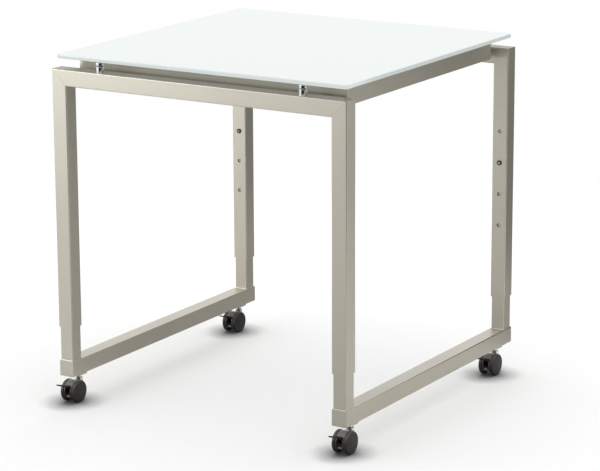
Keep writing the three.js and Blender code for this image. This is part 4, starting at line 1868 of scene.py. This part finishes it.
    def _collar(self) -> None:
        """Turns the bright collar round the top of the stem boss."""
        edge = self.collar_skin
        inner, outer = self.boss_radius - self.collar_sunk, self.boss_radius + edge
        low, high = self.top - self.collar_height, self.top + edge / 2
        profile = [(inner, low), (outer, low), (outer, high - edge)]
        profile += [(outer - edge, high), (inner, high), (inner, low)]
        piece = Workshop.lathe(self._name("boss_collar"), profile, Axis.Z, self.swivel_axis)
        Workshop.complete(piece, CHROME, self._name("caster"))

    def _brake_leaf(self) -> None:
        """Builds the bent spring leaf of the brake, which shows in the hood's mouth."""
        gauge, reach, bend = self.leaf_gauge, self.leaf_reach, self.leaf_bend
        root = self.lever_hub - self.overcut
        outline = [(root, 0), (reach, 0), (reach, -bend), (reach - gauge, -bend)]
        outline += [(reach - gauge, -gauge), (root, -gauge)]
        ends = (-self.leaf_half, self.leaf_half)
        piece = Workshop.prism(self._name("brake_leaf"), outline, Axis.X, *ends)
        piece.data.transform(self._round_axle(self.leaf_angle))
        Workshop.complete(piece, SPRING, self._name("brake_lever"))


@dataclass(frozen=True)
class Flag:
    """A card that shows in reflections only, and gives the metal its contrast.

    Attributes:
        name: Name of the flag.
        place: Its middle.
        size: Its two sides.
        level: How bright it shows, 0 for black, 1 for the white of the surround and more for a lit card.
        upright: Whether it stands and faces the object, or lies flat.
        body: Body that it goes with when the legs are drawn out.
        thickness: Its thickness.
    """

    name: str
    place: tuple[float, float, float]
    size: tuple[float, float]
    level: float
    upright: bool = False
    body: str = GROUND_BODY
    thickness: float = 0.1 * MM

    def build(self) -> None:
        """Sets the flag up."""
        outline = Workshop.rectangle(*self.size)
        flag = Workshop.prism(self.name, outline, Axis.Z, 0.0, self.thickness)
        place = Vector(self.place)
        turn = Matrix.Identity(4)
        if self.upright:
            facing = Matrix.Rotation(math.atan2(-place.x, place.y), 4, "Z")
            turn = facing @ Matrix.Rotation(math.radians(90), 4, "X")
        flag.data.transform(Matrix.Translation(place) @ turn)
        material = bpy.data.materials.new(self.name)
        wires = Wiring.fresh(material)
        glow = wires.add("ShaderNodeEmission", {"Strength": self.level})
        wires.add("ShaderNodeOutputMaterial", {"Surface": glow.outputs[0]})
        flag.data.materials.append(material)
        for rays in ("camera", "diffuse", "transmission", "shadow"):
            setattr(flag, f"visible_{rays}", False)
        Workshop.stand(flag, self.body)


@dataclass(frozen=True)
class Softbox:
    """A rectangular light, turned to the middle of the object.

    Attributes:
        name: Name of the light.
        place: Where it hangs.
        size: Width and height.
        power: Its power in watts.
        hidden_from: The rays besides the camera's that don't see it.
        colour: Its colour.
        aim: What it is turned to.
    """

    name: str
    place: tuple[float, float, float]
    size: tuple[float, float]
    power: float
    hidden_from: str
    colour: tuple[float, float, float] = (1.0, 1.0, 1.0)
    aim: tuple[float, float, float] = (0.0, 0.0, 0.5)

    def build(self) -> None:
        """Hangs the softbox."""
        data = bpy.data.lights.new(self.name, "AREA")
        data.shape = "RECTANGLE"
        data.size, data.size_y = self.size
        data.energy = self.power
        data.color = self.colour
        light = Workshop.make_object(self.name, data)
        light.location = self.place
        course = Vector(self.aim) - Vector(self.place)
        light.rotation_euler = course.to_track_quat("-Z", "Y").to_euler()
        for rays in ("camera", self.hidden_from):
            setattr(light, f"visible_{rays}", False)


@dataclass
class Studio:
    """Floor, light, flags and camera."""

    camera_place: tuple[float, float, float] = (3.2924, -5.2828, 1.937)
    camera_yaw: float = 31.625
    camera_pitch: float = 13.975
    camera_roll: float = -0.258
    lens: float = 156.5
    sensor: float = 36.0
    floor_size: float = 24.0
    floor_depth: float = 20 * MM
    floor_gap: float = 0.1 * MM
    floor_colour: Colour = (0.8, 0.8, 0.8, 1.0)
    shadow_floor: float = 1.6
    white_floor: float = 2.6
    floor_share: float = 0.9
    contact_reach: float = 0.066
    contact_power: float = 3.0
    contact_dark: float = 0.15
    ambient: float = 0.93
    sun: float = 0.34
    sun_angle: float = 85
    sun_course: tuple[float, float, float] = (0.1, -0.1, -1.0)
    softboxes: tuple[Softbox, ...] = (
        Softbox("key_softbox", (-2.3, -2.4, 1.5), (1.8, 2.4), 56.0, "diffuse", (0.9, 0.95, 1.0)),
        Softbox("back_softbox", (-1.4, 3.0, 1.6), (2.0, 2.0), 12.0, "glossy"),
    )
    flags: tuple[Flag, ...] = (
        Flag("back_flag", (0.6, 1.33, 0.425), (1.3, 0.85), 0.04, upright=True),
        Flag("front_flag", (1.55, -1.83, 0.425), (4.6, 0.85), 0.03, upright=True),
        # Painted shade of the floor as the metal reflects it: the inner and back floor cards stand for the
        # shaded floor under and behind the table; the front and leg floor cards darken the reflected floor in
        # front.
        Flag("inner_floor_flag", (0.0, 0.55, FLOOR_CARD), (0.72, 1.45), 0.5),
        Flag("back_floor_flag", (0.56, 0.95, FLOOR_CARD), (0.4, 0.7), 0.4),
        Flag("front_floor_flag", (0.22, -1.25, FLOOR_CARD), (0.75, 1.5), 0.62),
        Flag("leg_floor_flag", (-0.75, -2.3, FLOOR_CARD), (0.7, 1.3), 0.35),
        Flag("top_flag", (-1.2, -0.6, 2.6), (3.0, 3.0), 0.5),
        Flag("rail_card", (-1.1, 1.8, 0.6), (1.8, 0.5), 1.8, upright=True),
        # Painted shade in the recess under the glass's front and back edges, as the tie frame reflects it.
        Flag("recess_flag_front", (0.0, -0.345, 0.8405), (0.74, 0.025), 0.5, upright=True, body=TOP_BODY),
        Flag("recess_flag_back", (0.0, 0.3745, 0.8405), (0.74, 0.025), 0.5, upright=True, body=TOP_BODY),
    )

    def build(self) -> None:
        """Builds the studio round the object."""
        bpy.context.scene.view_settings.view_transform = "Standard"
        self._world()
        self._floor()
        for softbox in self.softboxes:
            softbox.build()
        self._overhead()
        for flag in self.flags:
            flag.build()
        self._camera()

    @staticmethod
    def _seen(wires: Wiring) -> Socket:
        """Tells the rays that show the background: from the camera, off gloss or through glass.

        Args:
            wires: The wiring of the floor or the world.

        Returns:
            1 for such a ray, 0 for any other.
        """
        path = wires.add("ShaderNodeLightPath").outputs
        shiny = wires.math("MAXIMUM", path["Is Glossy Ray"], path["Is Transmission Ray"])
        return wires.math("MAXIMUM", path["Is Camera Ray"], shiny)

    def _world(self) -> None:
        """A white surround that lights the object softly."""
        world = bpy.data.worlds.new("studio")
        bpy.context.scene.world = world
        wires = Wiring.fresh(world)
        light = wires.add("ShaderNodeBackground", {"Color": WHITE, "Strength": self.ambient})
        white = wires.add("ShaderNodeBackground", {"Color": WHITE, "Strength": 1.0})
        inputs = {0: self._seen(wires), 1: light.outputs[0], 2: white.outputs[0]}
        both = wires.add("ShaderNodeMixShader", inputs)
        wires.add("ShaderNodeOutputWorld", {"Surface": both.outputs[0]})

    def _floor(self) -> None:
        """A pale floor that keeps the object's shadow and runs out to white."""
        outline = Workshop.rectangle(self.floor_size, self.floor_size)
        floor = Workshop.prism("studio_floor", outline, Axis.Z, -self.floor_depth, -self.floor_gap)
        material = bpy.data.materials.new("pale_floor")
        wires = Wiring.fresh(material)
        plain = wires.add("ShaderNodeBsdfDiffuse", {"Color": self.floor_colour})
        near = self._shadowed(wires)
        far = wires.add("ShaderNodeEmission", {"Strength": 1.0})
        place = wires.add("ShaderNodeTexCoord").outputs["Object"]
        distance = wires.add("ShaderNodeVectorMath", {0: place}, operation="LENGTH").outputs["Value"]
        limits = {"From Min": self.shadow_floor, "From Max": self.white_floor}
        away = wires.ramp(distance, limits, interpolation_type="SMOOTHSTEP")
        shown = wires.add("ShaderNodeMixShader", {0: away, 1: near, 2: far.outputs[0]})
        inputs = {0: self._seen(wires), 1: plain.outputs[0], 2: shown.outputs[0]}
        both = wires.add("ShaderNodeMixShader", inputs)
        wires.add("ShaderNodeOutputMaterial", {"Surface": both.outputs[0]})
        floor.data.materials.append(material)
        Workshop.stand(floor, GROUND_BODY)

    def _shadowed(self, wires: Wiring) -> Socket:
        """The floor near the object, with its shadow, and a painted contact shade from ambient occlusion
        where something stands on it.

        Args:
            wires: The floor's wiring.

        Returns:
            The shader.
        """
        # Painted contact shade: ambient occlusion darkens the floor near what stands on it.
        nearby = wires.add("ShaderNodeAmbientOcclusion", {"Distance": self.contact_reach}).outputs["AO"]
        limits = {"To Min": self.contact_dark, "To Max": 1.0}
        contact = wires.ramp(wires.math("POWER", nearby, self.contact_power), limits)
        lit = wires.math("MULTIPLY", contact, self.floor_share)
        grey = wires.add("ShaderNodeCombineColor", dict.fromkeys(range(3), lit)).outputs[0]
        shade = wires.add("ShaderNodeBsdfDiffuse", {"Color": grey})
        rest = wires.math("MULTIPLY", contact, 1.0 - self.floor_share)
        lift = wires.add("ShaderNodeEmission", {"Strength": rest})
        return wires.add("ShaderNodeAddShader", {0: shade.outputs[0], 1: lift.outputs[0]}).outputs[0]

    def _overhead(self) -> None:
        """A weak and very soft sun from almost straight above."""
        data = bpy.data.lights.new("overhead", "SUN")
        data.energy = self.sun
        data.angle = math.radians(self.sun_angle)
        overhead = Workshop.make_object("overhead", data)
        overhead.rotation_euler = Vector(self.sun_course).to_track_quat("-Z", "Y").to_euler()

    def _camera(self) -> None:
        """Sets the camera at the photograph's viewing angle."""
        data = bpy.data.cameras.new("camera")
        data.lens = self.lens
        data.sensor_width = self.sensor
        camera = Workshop.make_object("camera", data)
        bpy.context.scene.camera = camera
        turn = Matrix.Identity(4)
        for angle, axis in ((self.camera_yaw, "Z"), (90 - self.camera_pitch, "X"), (self.camera_roll, "Z")):
            turn = turn @ Matrix.Rotation(math.radians(angle), 4, axis)
        camera.matrix_world = Matrix.Translation(self.camera_place) @ turn


def main() -> None:
    """Loads the frame, builds every sub-assembly and sets the studio."""
    logging.basicConfig(level=logging.INFO, format="%(name)s: %(message)s")
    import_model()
    lattice = LatticeOfCopies()
    Studio().build()
    GlassTop().build()
    Standoffs(lattice).build()
    Goalposts(lattice).build()
    TieFrame(lattice).build()
    FootFrames().build()
    LockScrews().build()
    for corner in Corner:
        Caster(corner, lattice).build()


if __name__ == "__main__":
    main()
